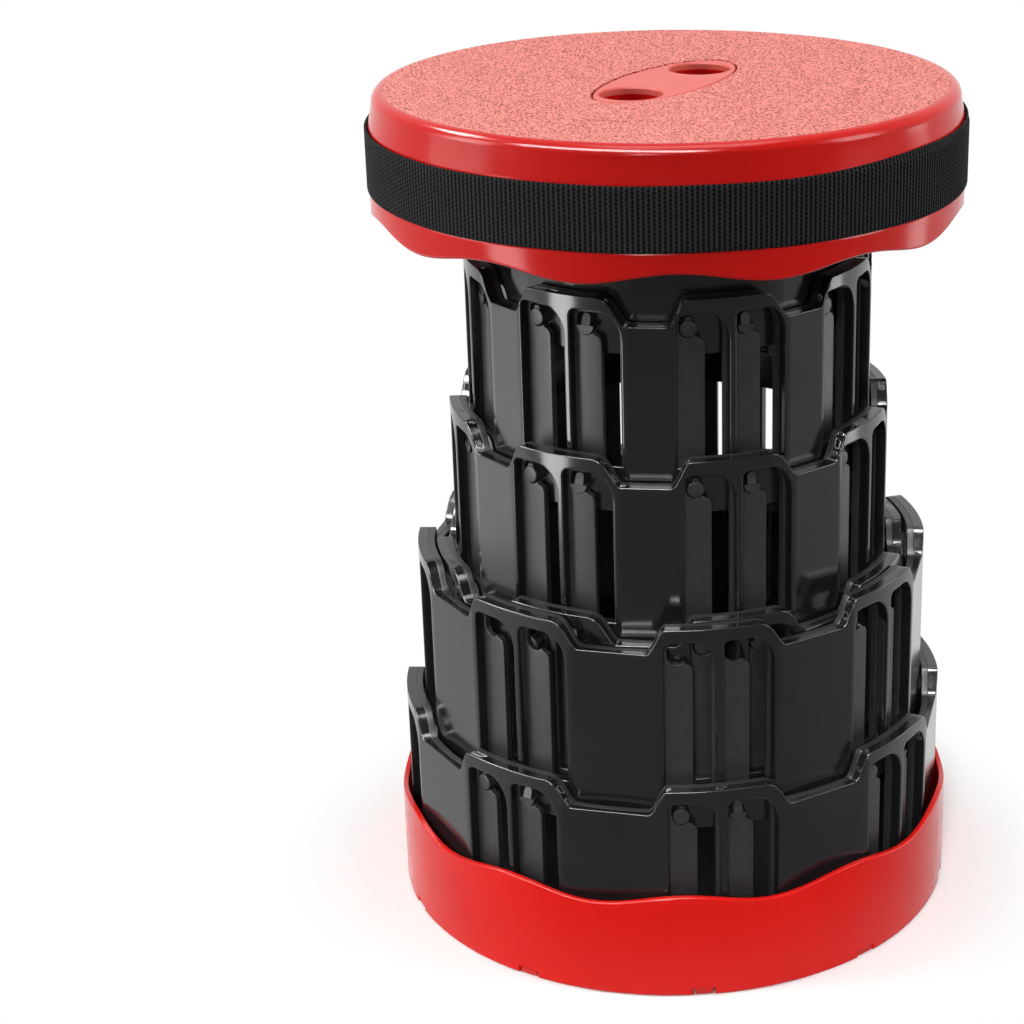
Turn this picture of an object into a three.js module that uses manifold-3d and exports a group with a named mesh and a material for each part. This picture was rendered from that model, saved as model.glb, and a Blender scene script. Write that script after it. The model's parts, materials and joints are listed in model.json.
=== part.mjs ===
// A collapsible telescopic stool: six ribbed sleeves nest in each other between a
// cup-shaped base and a cap-shaped seat. It is drawn as it stands in use, with four of
// its five stages pulled out and the stage of sleeve 3 left down in sleeve 2.
// Millimetres, +Z up, the origin at the centre of the underside of the base.
// An azimuth is counted from the front (-Y) towards +X.
import * as THREE from 'three';
import { mergeVertices } from 'three/addons/utils/BufferGeometryUtils.js';
import Module from 'manifold-3d';

const wasm = await Module();
wasm.setup();

// Clearances
const seatGap = 0.3; // between two pieces that rest on each other
const runningClearance = 1.0; // radial, between two sleeves
const cutOverrun = 3; // how far a cutter runs past the face that it opens

// Sleeves, counted from the outside in
const sleeveCount = 6;
const outerSleeveRadius = 120;
const sleeveWall = 7.3;
const sleeveHeight = 89.4;
const sleeveSides = 40;
const stageOverlap = [21, 23.4, 24, 24.8, 25.2]; // that each sleeve keeps in its neighbour, pulled out
const stageRaisedShare = [1, 0, 1, 1, 1]; // 1 where the stage is pulled out at rest
const sectorCount = 8;
const lowerSectorAzimuth = 9.5; // degrees, the middle of a raised sector on sleeves 1 and 2
const upperSectorAzimuth = 16.5; // degrees, the same on sleeves 3 to 6
const lowerSectorSleeves = 2;

// Battlements along a sleeve's rim
const rimDrop = 11.2; // from a raised sector down to the panel between two
const rimSlopeWidth = 6.2;
const rimHalfWidth = 19.8; // of the raised top, on the narrowest sleeve that shows
const rimGrowthShare = 0.15; // how much wider it gets for each unit of radius
const rimWidthRadius = 86.8; // the radius at which the half width above holds
const rimSlopeSteps = 2;

// Channels: two in each raised sector, a recessed strip beside a slot
const stripWidth = 12.4;
const slotWidth = 8;
const channelPitch = 24.6;
const channelsPerSector = 2;
const flushSleeves = [2, 5]; // these two show no strips: one stands in its neighbour, one in the seat
const recessDepth = 4.3;
const recessBelowRim = 5.6;
const recessCornerRadius = 6.4;
const pocketBelowRim = 7.6;
const pocketCornerRadius = 4;
const pocketInset = 1.4;
const recessSteps = 1;
const pocketSteps = 1;
const slotLedge = 1.6; // of the recess, right of the slot
const cradleLip = 2.7; // from the middle of a seated peg down to the lip of its cradle
const shoulderDrop = 3.4;

// Pegs that ride in the slots of the next sleeve out
const pegRadius = 3.6;
const pegBelowRim = 13; // of the neighbour's rim, with the stage pulled out
const pegSides = 6;
const pegRoot = 1; // how deep a peg is rooted in its own sleeve
const cradleClearance = 0.5;
const skinThickness = 3; // left outside the blind end of a slot
const pegTipClearance = 0.4;
const recessAbovePeg = 3.6;
const stripFoot = 2; // solid ring below the strips, above the thin band at the bottom
const bandThickness = 2.4;

// Hollows behind the flat panels
const panelRib = 2.4; // wall left between a hollow and the nearest channel
const panelTopBand = 5; // solid band left under the rim

// Base
const baseFloor = 4;
const baseWall = 2.5;
const baseSleeveGap = 1.5; // radial, round the outermost sleeve
const baseBottomChamfer = 1.2;
const baseRimHeight = 44.8; // mean height of the wavy edge
const baseRimRound = 0.8;

// Wavy edges of base and seat, which mate when the stool is closed
const waveCount = 10;
const waveHeight = 2.2;
const waveLowAzimuth = 19.5; // degrees, where both edges are lowest
const edgeSides = 60;
const closedSeam = 3; // between the two edges when the stool is closed

// Foot pads
const padCount = 10;
const padAzimuth = 5.5;
const padWidth = 7.5;
const padHeight = 2.5;
const padLength = 14;
const padSideGap = 1;

// Seat
const seatPlate = 4.4;
const seatSleeveGap = 1.2; // radial, round the outermost sleeve when the stool is closed
const seatSkirtWall = 2.3;
const seatEdgeInset = 2.1; // from the skirt in to the edge of the top
const seatEdgeRound = 4.1; // from that edge in to the flat top
const seatEdgeDrop = 3.4;
const skirtLedge = 0.5;
const skirtLedgeDrop = 1.2;
const strapBelowTop = 14.3;
const seatInnerCornerDrop = 4;
const seatInnerCornerInset = 0.8;
const centreBossHeight = 6;
const centreBossMargin = 3.2;
const locatingRingHeight = 7;
const locatingRingWall = 2.4;
const ringSides = 24;
const ribHeight = 6;
const ribWidth = 2;
const ribCount = 8;

// Oval grip plate with two finger holes
const gripHalfLength = 48.6;
const gripHalfWidth = 20.2;
const gripThickness = 3;
const gripGap = 1.1; // visible gap round the plate
const gripAngle = 60.7; // degrees from +X to the long axis
const gripSides = 24;
const fingerHoleRadius = 13;
const fingerHoleSpacing = 58.4;
const fingerTubeWall = 1.8;
const fingerTubeDepth = 14;
const fingerHoleSides = 16;

// Strap, handle and rivets
const strapWidth = 25.6;
const strapThickness = 1.3;
const handleWidth = 21;
const handleThickness = 2.4;
const handleHalfAngle = 23; // degrees, the free loop
const handleTabAngle = 6; // degrees, each end that lies on the strap
const handleBulge = 42;
const handleSteps = 14;
const rivetHeadRadius = 5;
const rivetHeadHeight = 2;
const rivetShankRadius = 2;
const rivetHoleClearance = 0.35;
const rivetSides = 8;

// Screws
const screwCount = 4;
const screwRadius = 1.6;
const screwHeadRadius = 3.1;
const screwHeadHeight = 2;
const screwLength = 13;
const screwHoleClearance = 0.35;
const screwSides = 6;
const screwPostWidth = 8;
const lugWidth = 14;
const lugDepth = 10;
const lugHeight = 7;
const lugRoot = 1;
const screwBossRadius = 4.2;
const screwBossHeight = 8;

// Values that follow from the sizes above
const degree = Math.PI / 180;
const fullTurn = 2 * Math.PI;
const stageTravel = stageOverlap.map((overlap) => sleeveHeight - overlap);
const sleeveStep = sleeveWall + runningClearance;
const sleeveBottom = baseFloor + seatGap;
const baseInnerRadius = outerSleeveRadius + baseSleeveGap;
const baseOuterRadius = baseInnerRadius + baseWall;
const padInnerRadius = baseOuterRadius - padLength;
const seatSkirtInnerRadius = outerSleeveRadius + seatSleeveGap;
const seatSkirtRadius = seatSkirtInnerRadius + seatSkirtWall;
const seatEdgeRadius = seatSkirtRadius - seatEdgeInset;
const seatTopRadius = seatEdgeRadius - seatEdgeRound;
const seatInnerCornerRadius = seatSkirtInnerRadius - seatInnerCornerInset;
const sectorPitch = fullTurn / sectorCount;
const channelBlock = channelPitch + stripWidth + slotWidth;
const channelLeft = -channelBlock / 2;
const raisedTravel = stageTravel.reduce((sum, travel, k) => sum + travel * stageRaisedShare[k], 0);
const seatTop = sleeveBottom + raisedTravel + sleeveHeight + seatGap + seatPlate;
const seatUnderside = seatTop - seatPlate;
const seatRimHeight = baseRimHeight + raisedTravel + closedSeam;
const strapTop = seatTop - strapBelowTop;
const strapMiddle = strapTop - strapWidth / 2;
const strapInnerRadius = seatSkirtRadius + seatGap;
const strapOuterRadius = strapInnerRadius + strapThickness;
const screwHoleRadius = screwRadius + screwHoleClearance;

const redGloss = new THREE.MeshStandardMaterial({ color: 0xd81a12, roughness: 0.25, metalness: 0 });
const redGrained = new THREE.MeshStandardMaterial({ color: 0xe0483f, roughness: 0.6, metalness: 0 });
const blackPlastic = new THREE.MeshStandardMaterial({ color: 0x1c1d1e, roughness: 0.4, metalness: 0 });
const blackWebbing = new THREE.MeshStandardMaterial({ color: 0x141414, roughness: 0.9, metalness: 0 });
const redRubber = new THREE.MeshStandardMaterial({ color: 0xc01a14, roughness: 0.85, metalness: 0 });
const brightSteel = new THREE.MeshStandardMaterial({ color: 0xb9bbbd, roughness: 0.3, metalness: 1 });

// Turns a closed mesh into a solid that can be joined and cut.
function solidOf(geometry) {
  const bare = geometry.index ? geometry.toNonIndexed() : geometry.clone();
  bare.deleteAttribute('normal');
  bare.deleteAttribute('uv');
  const merged = mergeVertices(bare, 1e-4);
  const position = merged.attributes.position;
  const kept = [];
  const index = merged.index.array;
  for (let i = 0; i < index.length; i += 3) {
    const [a, b, c] = [index[i], index[i + 1], index[i + 2]];
    if (a !== b && b !== c && c !== a) kept.push(a, b, c);
  }
  const corner = (i) => new THREE.Vector3().fromBufferAttribute(position, i);
  let volume = 0;
  for (let i = 0; i < kept.length; i += 3) {
    volume += corner(kept[i]).dot(corner(kept[i + 1]).cross(corner(kept[i + 2])));
  }
  if (volume < 0) kept.reverse();
  return new wasm.Manifold(new wasm.Mesh({
    numProp: 3,
    vertProperties: new Float32Array(position.array),
    triVerts: new Uint32Array(kept),
  }));
}

function geometryOf(solid) {
  const mesh = solid.getMesh();
  const geometry = new THREE.BufferGeometry();
  geometry.setAttribute('position', new THREE.Float32BufferAttribute(mesh.vertProperties, 3));
  geometry.setIndex(new THREE.Uint32BufferAttribute(mesh.triVerts, 1));
  geometry.computeVertexNormals();
  return geometry;
}

function joined(solids) {
  return solids.reduce((whole, next) => whole.add(next));
}

function cutBy(solid, cutters) {
  return solid.subtract(joined(cutters));
}

// A profile of [radius, height] points, revolved about Z. edge(height, azimuth) may move a point up.
function revolved(profile, sides, edge) {
  const points = profile.map(([radius, height]) => new THREE.Vector2(radius, height));
  const geometry = new THREE.LatheGeometry(points, sides);
  geometry.rotateX(Math.PI / 2);
  if (edge) {
    const position = geometry.attributes.position;
    for (let i = 0; i < position.count; i += 1) {
      const azimuth = Math.atan2(position.getX(i), -position.getY(i));
      const height = position.getZ(i);
      position.setZ(i, height + edge(height, azimuth));
    }
  }
  return solidOf(geometry);
}

// An outline of [arc length, height] points, wrapped round a cylinder and grown radially.
function wrapped(outline, arcRadius, fromRadius, toRadius, azimuth) {
  const shape = new THREE.Shape(outline.map(([along, up]) => new THREE.Vector2(along, up)));
  const geometry = new THREE.ExtrudeGeometry(shape, { depth: 1, steps: 1, bevelEnabled: false });
  const position = geometry.attributes.position;
  for (let i = 0; i < position.count; i += 1) {
    const angle = azimuth + position.getX(i) / arcRadius;
    const radius = fromRadius + (toRadius - fromRadius) * position.getZ(i);
    position.setXYZ(i, radius * Math.sin(angle), -radius * Math.cos(angle), position.getY(i));
  }
  return solidOf(geometry);
}

// Points on a circle arc, from one angle to another in degrees, counted from +X towards +Y.
function arcPoints(centreX, centreY, radius, fromDegrees, toDegrees, steps) {
  return Array.from({ length: steps + 1 }, (_, i) => {
    const angle = (fromDegrees + ((toDegrees - fromDegrees) * i) / steps) * degree;
    return [centreX + radius * Math.cos(angle), centreY + radius * Math.sin(angle)];
  });
}

// A round bar along the radius at an azimuth and a height.
function radialBar(radius, fromRadius, toRadius, azimuth, height, sides) {
  const geometry = new THREE.CylinderGeometry(radius, radius, toRadius - fromRadius, sides);
  geometry.rotateY(Math.PI / sides);
  geometry.translate(0, -(fromRadius + toRadius) / 2, 0);
  geometry.rotateZ(azimuth);
  geometry.translate(0, 0, height);
  return solidOf(geometry);
}

// An upright round bar at a radius and an azimuth.
function uprightBar(radius, fromHeight, toHeight, atRadius, azimuth, sides) {
  const geometry = new THREE.CylinderGeometry(radius, radius, toHeight - fromHeight, sides);
  geometry.rotateX(Math.PI / 2);
  const middle = (fromHeight + toHeight) / 2;
  geometry.translate(atRadius * Math.sin(azimuth), -atRadius * Math.cos(azimuth), middle);
  return solidOf(geometry);
}

function sleeveRadius(k) {
  return outerSleeveRadius - sleeveStep * k;
}

function sectorAzimuth(k) {
  return (k < lowerSectorSleeves ? lowerSectorAzimuth : upperSectorAzimuth) * degree;
}

// How high a sleeve's bottom stands at rest.
function restBottom(k) {
  let height = sleeveBottom;
  for (let i = 0; i < k; i += 1) height += stageTravel[i] * stageRaisedShare[i];
  return height;
}

function slotCentre(channel) {
  return channelLeft + channel * channelPitch + stripWidth + slotWidth / 2;
}

// The battlement valley between two raised sectors, as an outline above the panel.
function valleyOutline(radius) {
  const pitchArc = radius * sectorPitch;
  const half = rimHalfWidth + rimGrowthShare * (radius - rimWidthRadius);
  const slope = (t) => -rimDrop * (1 - Math.cos(Math.PI * t)) / 2;
  const left = Array.from({ length: rimSlopeSteps + 1 }, (_, i) => {
    const t = i / rimSlopeSteps;
    return [half + rimSlopeWidth * t, slope(t)];
  });
  const right = left.map(([along, up]) => [pitchArc - along, up]).reverse();
  return [...left, ...right, [pitchArc - half, cutOverrun], [half, cutOverrun]];
}

// A rectangle of a width, centred on zero, from one height to another.
function oblong(width, low, high) {
  return [[-width / 2, low], [width / 2, low], [width / 2, high], [-width / 2, high]];
}

// The recess that holds a strip and a slot, open to the outside.
function recessOutline(left, low) {
  const right = left + stripWidth + slotWidth + slotLedge;
  const cornerX = right - recessCornerRadius;
  const cornerY = -recessBelowRim - recessCornerRadius;
  const corner = arcPoints(cornerX, cornerY, recessCornerRadius, 0, 90, recessSteps);
  return [[left, low], [right, low], ...corner, [left, -recessBelowRim]];
}

// The slot with the pocket at its head, where a peg swings over onto the strip's cradle.
function slotOutline(left, low) {
  const slotLeft = left + stripWidth;
  const right = slotLeft + slotWidth;
  const cradleRadius = pegRadius + cradleClearance;
  const cradleX = left + pocketInset + cradleRadius;
  const lip = Math.sqrt(cradleRadius ** 2 - cradleLip ** 2);
  const cornerX = right - pocketCornerRadius;
  const cornerY = -pocketBelowRim - pocketCornerRadius;
  const corner = arcPoints(cornerX, cornerY, pocketCornerRadius, 0, 90, pocketSteps);
  return [
    [right, low],
    ...corner,
    [left + pocketInset, -pocketBelowRim],
    [cradleX - lip, -pegBelowRim - cradleRadius],
    [cradleX, -pegBelowRim - cradleRadius],
    [cradleX + lip, -pegBelowRim - cradleLip],
    [slotLeft, -pegBelowRim - cradleLip - shoulderDrop],
    [slotLeft, low],
  ];
}

// The hollow behind a flat panel, open to the thin band below.
function panelOutline(radius, low) {
  const pitchArc = radius * sectorPitch;
  const from = channelBlock / 2 + panelRib;
  const to = pitchArc - from;
  return [
    [from, low - cutOverrun],
    [to, low - cutOverrun],
    [to, -rimDrop - panelTopBand],
    [from, -rimDrop - panelTopBand],
  ];
}

// One sleeve. k counts from the outermost, 0, to the innermost. Its lowest band is only a
// skin, which leaves the pegs of the next sleeve in their way down to the bottom.
function sleeve(k) {
  const radius = sleeveRadius(k);
  const inner = radius - sleeveWall;
  const innermost = k === sleeveCount - 1;
  const top = restBottom(k) + sleeveHeight;
  const ownPegDrop = k > 0 ? stageTravel[k - 1] + pegBelowRim : sleeveHeight;
  const channelLow = -Math.min(ownPegDrop - pegRadius - recessAbovePeg, sleeveHeight - pegBelowRim);
  const bandTop = channelLow - stripFoot;
  const cutters = [];
  for (let sector = 0; sector < sectorCount; sector += 1) {
    const azimuth = sectorAzimuth(k) + sector * sectorPitch;
    cutters.push(wrapped(valleyOutline(radius), radius, inner - cutOverrun, radius + cutOverrun, azimuth));
    const hollow = panelOutline(radius, bandTop);
    cutters.push(wrapped(hollow, radius, inner - cutOverrun, radius - skinThickness, azimuth));
    for (let channel = 0; channel < channelsPerSector; channel += 1) {
      const left = channelLeft + channel * channelPitch;
      if (!flushSleeves.includes(k)) {
        const recess = recessOutline(left, channelLow);
        cutters.push(wrapped(recess, radius, radius - recessDepth, radius + cutOverrun, azimuth));
      }
      if (!innermost) {
        const slot = slotOutline(left, bandTop - stripFoot);
        cutters.push(wrapped(slot, radius, inner - cutOverrun, radius - skinThickness, azimuth));
      }
    }
  }
  const skin = radius - bandThickness;
  const tube = revolved([
    [skin, -sleeveHeight],
    [radius, -sleeveHeight],
    [radius, 0],
    [inner, 0],
    [inner, bandTop],
    [skin, bandTop],
    [skin, -sleeveHeight],
  ], sleeveSides);
  let body = cutBy(tube, cutters);
  if (k > 0) {
    const neighbour = sleeveRadius(k - 1);
    const tip = neighbour - skinThickness - pegTipClearance;
    const pegs = [];
    for (let sector = 0; sector < sectorCount; sector += 1) {
      for (let channel = 0; channel < channelsPerSector; channel += 1) {
        const azimuth = sectorAzimuth(k - 1) + sector * sectorPitch + slotCentre(channel) / neighbour;
        pegs.push(radialBar(pegRadius, radius - pegRoot, tip, azimuth, -ownPegDrop, pegSides));
      }
    }
    body = joined([body, ...pegs]);
  }
  if (innermost) {
    const lugs = [];
    const bores = [];
    const lugTop = -screwBossHeight;
    const lugLow = lugTop - lugHeight;
    for (const azimuth of lugAzimuths()) {
      const outline = oblong(lugWidth, lugLow, lugTop);
      lugs.push(wrapped(outline, inner, inner - lugDepth, inner + lugRoot, azimuth));
      bores.push(uprightBar(
        screwHoleRadius, lugLow - cutOverrun, lugTop + cutOverrun, lugScrewRadius(), azimuth, screwSides,
      ));
    }
    body = cutBy(joined([body, ...lugs]), bores);
  }
  if (k === 0) {
    const low = -sleeveHeight;
    const outline = oblong(screwPostWidth, low, bandTop + lugRoot);
    const posts = screwAzimuths().map((azimuth) => wrapped(outline, skin, inner, skin + lugRoot, azimuth));
    const bores = screwAzimuths().map((azimuth) => uprightBar(
      screwHoleRadius, low - cutOverrun, low + screwLength, baseScrewRadius(), azimuth, screwSides,
    ));
    body = cutBy(joined([body, ...posts]), bores);
  }
  return body.translate(0, 0, top);
}

// The screws of the base go up into posts beside a channel of the outer sleeve.
function screwAzimuths() {
  const besideChannel = (channelBlock / 2 + screwPostWidth / 2) / outerSleeveRadius;
  const first = sectorAzimuth(0) - besideChannel;
  return Array.from({ length: screwCount }, (_, i) => first + (i * fullTurn) / screwCount);
}

function baseScrewRadius() {
  return outerSleeveRadius - sleeveWall / 2;
}

function wave(azimuth) {
  return -waveHeight * Math.cos(waveCount * (azimuth - waveLowAzimuth * degree));
}

function baseCup() {
  const rim = baseRimHeight;
  const profile = [
    [0, 0],
    [baseOuterRadius - baseBottomChamfer, 0],
    [baseOuterRadius, baseBottomChamfer],
    [baseOuterRadius, rim - baseRimRound],
    [baseOuterRadius - baseRimRound, rim],
    [baseInnerRadius, rim],
    [baseInnerRadius, baseFloor],
    [0, baseFloor],
  ];
  const nearRim = rim / 2;
  const cup = revolved(profile, edgeSides, (height, azimuth) => (height > nearRim ? wave(azimuth) : 0));
  const pockets = Array.from({ length: padCount }, (_, i) => {
    const azimuth = padAzimuth * degree + (i * fullTurn) / padCount;
    const outline = oblong(padWidth + 2 * padSideGap, -cutOverrun, padHeight + seatGap);
    const inside = padInnerRadius - padSideGap;
    return wrapped(outline, baseOuterRadius, inside, baseOuterRadius + cutOverrun, azimuth);
  });
  const at = baseScrewRadius();
  const headHole = screwHeadRadius + screwHoleClearance;
  const bores = screwAzimuths().flatMap((azimuth) => [
    uprightBar(screwHoleRadius, -cutOverrun, baseFloor + cutOverrun, at, azimuth, screwSides),
    uprightBar(headHole, -cutOverrun, screwHeadHeight + seatGap, at, azimuth, screwSides),
  ]);
  return cutBy(cup, [...pockets, ...bores]);
}

function footPad(i) {
  const azimuth = padAzimuth * degree + (i * fullTurn) / padCount;
  const outline = oblong(padWidth, 0, padHeight);
  const outside = baseOuterRadius - baseBottomChamfer / 2;
  return wrapped(outline, baseOuterRadius, padInnerRadius, outside, azimuth);
}

function ellipsePoints(halfLength, halfWidth, sides) {
  return Array.from({ length: sides }, (_, i) => {
    const angle = (i * fullTurn) / sides;
    return new THREE.Vector2(halfLength * Math.cos(angle), halfWidth * Math.sin(angle));
  });
}

// An upright prism on an ellipse round the stool's axis, turned to the grip's angle.
function ovalPrism(halfLength, halfWidth, fromHeight, toHeight) {
  const shape = new THREE.Shape(ellipsePoints(halfLength, halfWidth, gripSides));
  const depth = toHeight - fromHeight;
  const geometry = new THREE.ExtrudeGeometry(shape, { depth, steps: 1, bevelEnabled: false });
  geometry.translate(0, 0, fromHeight);
  geometry.rotateZ(gripAngle * degree);
  return solidOf(geometry);
}

// A bar at each finger hole.
function fingerBars(radius, fromHeight, toHeight) {
  const azimuth = fullTurn / 4 + gripAngle * degree;
  return [-1, 1].map((side) => {
    const at = (side * fingerHoleSpacing) / 2;
    return uprightBar(radius, fromHeight, toHeight, at, azimuth, fingerHoleSides);
  });
}

function seatLid() {
  const strapBottom = strapTop - strapWidth;
  const profile = [
    [0, seatTop],
    [seatTopRadius, seatTop],
    [(seatTopRadius + 2 * seatEdgeRadius) / 3, seatTop - seatEdgeDrop / 3],
    [seatEdgeRadius, seatTop - seatEdgeDrop],
    [seatSkirtRadius, strapTop],
    [seatSkirtRadius, strapBottom],
    [seatSkirtRadius + skirtLedge, strapBottom - skirtLedgeDrop],
    [seatSkirtRadius + skirtLedge, seatRimHeight],
    [seatSkirtInnerRadius, seatRimHeight],
    [seatSkirtInnerRadius, seatUnderside - seatInnerCornerDrop],
    [seatInnerCornerRadius, seatUnderside],
    [0, seatUnderside],
  ];
  const nearRim = seatRimHeight + waveHeight;
  const shell = revolved(profile, edgeSides, (height, azimuth) => (height < nearRim ? wave(azimuth) : 0));
  const ringOuter = sleeveRadius(sleeveCount - 1) - sleeveWall - seatGap;
  const ringLow = seatUnderside - locatingRingHeight;
  const ring = revolved([
    [ringOuter - locatingRingWall, ringLow],
    [ringOuter, ringLow],
    [ringOuter, seatUnderside + seatGap],
    [ringOuter - locatingRingWall, seatUnderside + seatGap],
    [ringOuter - locatingRingWall, ringLow],
  ], ringSides);
  const boss = ovalPrism(
    gripHalfLength + gripGap + centreBossMargin, gripHalfWidth + gripGap + centreBossMargin,
    seatUnderside - centreBossHeight, seatUnderside + seatGap,
  );
  const ribs = Array.from({ length: ribCount }, (_, i) => {
    const azimuth = ((i + 1 / 2) * fullTurn) / ribCount + upperSectorAzimuth * degree;
    const from = gripHalfWidth;
    const to = ringOuter - locatingRingWall / 2;
    const geometry = new THREE.BoxGeometry(ribWidth, to - from, ribHeight + seatGap);
    geometry.translate(0, -(from + to) / 2, seatUnderside - (ribHeight - seatGap) / 2);
    geometry.rotateZ(azimuth);
    return solidOf(geometry);
  });
  const bossLow = seatUnderside - screwBossHeight;
  const screwBosses = lugAzimuths().map((azimuth) => uprightBar(
    screwBossRadius, bossLow, seatUnderside + seatGap, lugScrewRadius(), azimuth, screwSides,
  ));
  const pilots = lugAzimuths().map((azimuth) => uprightBar(
    screwHoleRadius, bossLow - cutOverrun, seatScrewTip() + seatGap, lugScrewRadius(), azimuth, screwSides,
  ));
  const recess = ovalPrism(
    gripHalfLength + gripGap, gripHalfWidth + gripGap,
    seatTop - gripThickness - seatGap, seatTop + cutOverrun,
  );
  const wellRadius = fingerHoleRadius + fingerTubeWall + seatGap;
  const wells = fingerBars(wellRadius, seatUnderside - fingerTubeDepth, seatTop);
  const rivetHoles = rivetHoleBars(seatSkirtInnerRadius - cutOverrun);
  const lid = joined([shell, ring, boss, ...ribs, ...screwBosses]);
  return cutBy(lid, [recess, ...wells, ...pilots, ...rivetHoles]);
}

// The lugs of the innermost sleeve stand behind every other raised sector.
function lugAzimuths() {
  const first = upperSectorAzimuth * degree;
  return Array.from({ length: screwCount }, (_, i) => first + (i * fullTurn) / screwCount);
}

function seatScrewHead() {
  return seatUnderside - seatGap - screwBossHeight - lugHeight - seatGap - screwHeadHeight;
}

function seatScrewTip() {
  return seatScrewHead() + screwLength;
}

function lugScrewRadius() {
  return sleeveRadius(sleeveCount - 1) - sleeveWall - lugDepth / 2;
}

function gripInsert() {
  const plate = ovalPrism(gripHalfLength, gripHalfWidth, seatTop - gripThickness, seatTop);
  const tubeRadius = fingerHoleRadius + fingerTubeWall;
  const tubes = fingerBars(tubeRadius, seatTop - fingerTubeDepth, seatTop - gripThickness / 2);
  const holes = fingerBars(fingerHoleRadius, seatTop - fingerTubeDepth - cutOverrun, seatTop + cutOverrun);
  return cutBy(joined([plate, ...tubes]), holes);
}

// The rivets stand in the two ends of the handle, behind the seat.
function rivetAzimuths() {
  const fromBack = (handleHalfAngle + handleTabAngle / 2) * degree;
  return [Math.PI - fromBack, Math.PI + fromBack];
}

function rivetHoleBars(fromRadius) {
  const holeRadius = rivetShankRadius + rivetHoleClearance;
  const toRadius = strapOuterRadius + 2 * handleThickness;
  return rivetAzimuths().map((azimuth) => radialBar(
    holeRadius, fromRadius, toRadius, azimuth, strapMiddle, rivetSides,
  ));
}

function seatStrap() {
  const low = strapTop - strapWidth;
  const band = revolved([
    [strapInnerRadius, low],
    [strapOuterRadius, low],
    [strapOuterRadius, strapTop],
    [strapInnerRadius, strapTop],
    [strapInnerRadius, low],
  ], edgeSides);
  return cutBy(band, rivetHoleBars(seatSkirtRadius - cutOverrun));
}

// A loop of webbing behind the seat: its two ends lie on the strap.
function carryHandle() {
  const total = handleHalfAngle + handleTabAngle;
  const nearRadius = (fromBack) => {
    const u = Math.min(Math.abs(fromBack) / handleHalfAngle, 1);
    return strapOuterRadius + seatGap + handleBulge * Math.cos((u * Math.PI) / 2) ** 2;
  };
  const inside = [];
  const outside = [];
  for (let i = 0; i <= handleSteps; i += 1) {
    const fromBack = total * ((2 * i) / handleSteps - 1);
    const azimuth = Math.PI + fromBack * degree;
    const radius = nearRadius(fromBack);
    const step = total / handleSteps;
    const rise = nearRadius(fromBack + step) - nearRadius(fromBack - step);
    const lean = Math.atan(rise / (2 * step * degree * radius));
    const point = (grow) => new THREE.Vector2(
      (radius + grow * Math.cos(lean)) * Math.sin(azimuth) - grow * Math.sin(lean) * Math.cos(azimuth),
      -(radius + grow * Math.cos(lean)) * Math.cos(azimuth) - grow * Math.sin(lean) * Math.sin(azimuth),
    );
    inside.push(point(0));
    outside.push(point(handleThickness));
  }
  const shape = new THREE.Shape([...inside, ...outside.reverse()]);
  const geometry = new THREE.ExtrudeGeometry(shape, { depth: handleWidth, steps: 1, bevelEnabled: false });
  geometry.translate(0, 0, strapMiddle - handleWidth / 2);
  return cutBy(solidOf(geometry), rivetHoleBars(seatSkirtRadius - cutOverrun));
}

function rivet(azimuth) {
  const seat = strapOuterRadius + handleThickness + 2 * seatGap;
  const head = radialBar(rivetHeadRadius, seat, seat + rivetHeadHeight, azimuth, strapMiddle, rivetSides);
  const fromRadius = seatSkirtInnerRadius + seatGap;
  const toRadius = seat + rivetHeadHeight / 2;
  const shank = radialBar(rivetShankRadius, fromRadius, toRadius, azimuth, strapMiddle, rivetSides);
  return head.add(shank);
}

// A pan-head screw with its head at the given height and its shank going up.
function screw(headLow, atRadius, azimuth) {
  const headHigh = headLow + screwHeadHeight;
  const shankLow = headLow + screwHeadHeight / 2;
  const head = uprightBar(screwHeadRadius, headLow, headHigh, atRadius, azimuth, screwSides);
  const shank = uprightBar(screwRadius, shankLow, headLow + screwLength, atRadius, azimuth, screwSides);
  return head.add(shank);
}

const stool = new THREE.Group();
stool.name = 'telescopic_stool';

function place(name, solid, material) {
  const mesh = new THREE.Mesh(geometryOf(solid), material);
  mesh.name = name;
  stool.add(mesh);
}

place('base_cup', baseCup(), redGloss);
for (let i = 0; i < padCount; i += 1) place(`foot_pad_${i + 1}`, footPad(i), redRubber);
for (let k = 0; k < sleeveCount; k += 1) place(`sleeve_${k + 1}`, sleeve(k), blackPlastic);
screwAzimuths().forEach((azimuth, i) => {
  place(`base_screw_${i + 1}`, screw(0, baseScrewRadius(), azimuth), brightSteel);
});
place('seat_lid', seatLid(), redGrained);
place('grip_insert', gripInsert(), redGrained);
place('seat_strap', seatStrap(), blackWebbing);
place('carry_handle', carryHandle(), blackWebbing);
rivetAzimuths().forEach((azimuth, i) => place(`handle_rivet_${i + 1}`, rivet(azimuth), brightSteel));
lugAzimuths().forEach((azimuth, i) => {
  place(`seat_screw_${i + 1}`, screw(seatScrewHead(), lugScrewRadius(), azimuth), brightSteel);
});

export default stool;
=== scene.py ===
"""A collapsible telescopic stool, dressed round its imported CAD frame.

Shapes are in millimetres. Textures, lamps and the camera are in metres.
A turn or an azimuth is counted from the front (-Y) towards +X.
"""

import json
import math

import bmesh
import bpy
import numpy as np
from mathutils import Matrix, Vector
from mathutils.geometry import delaunay_2d_cdt


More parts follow.
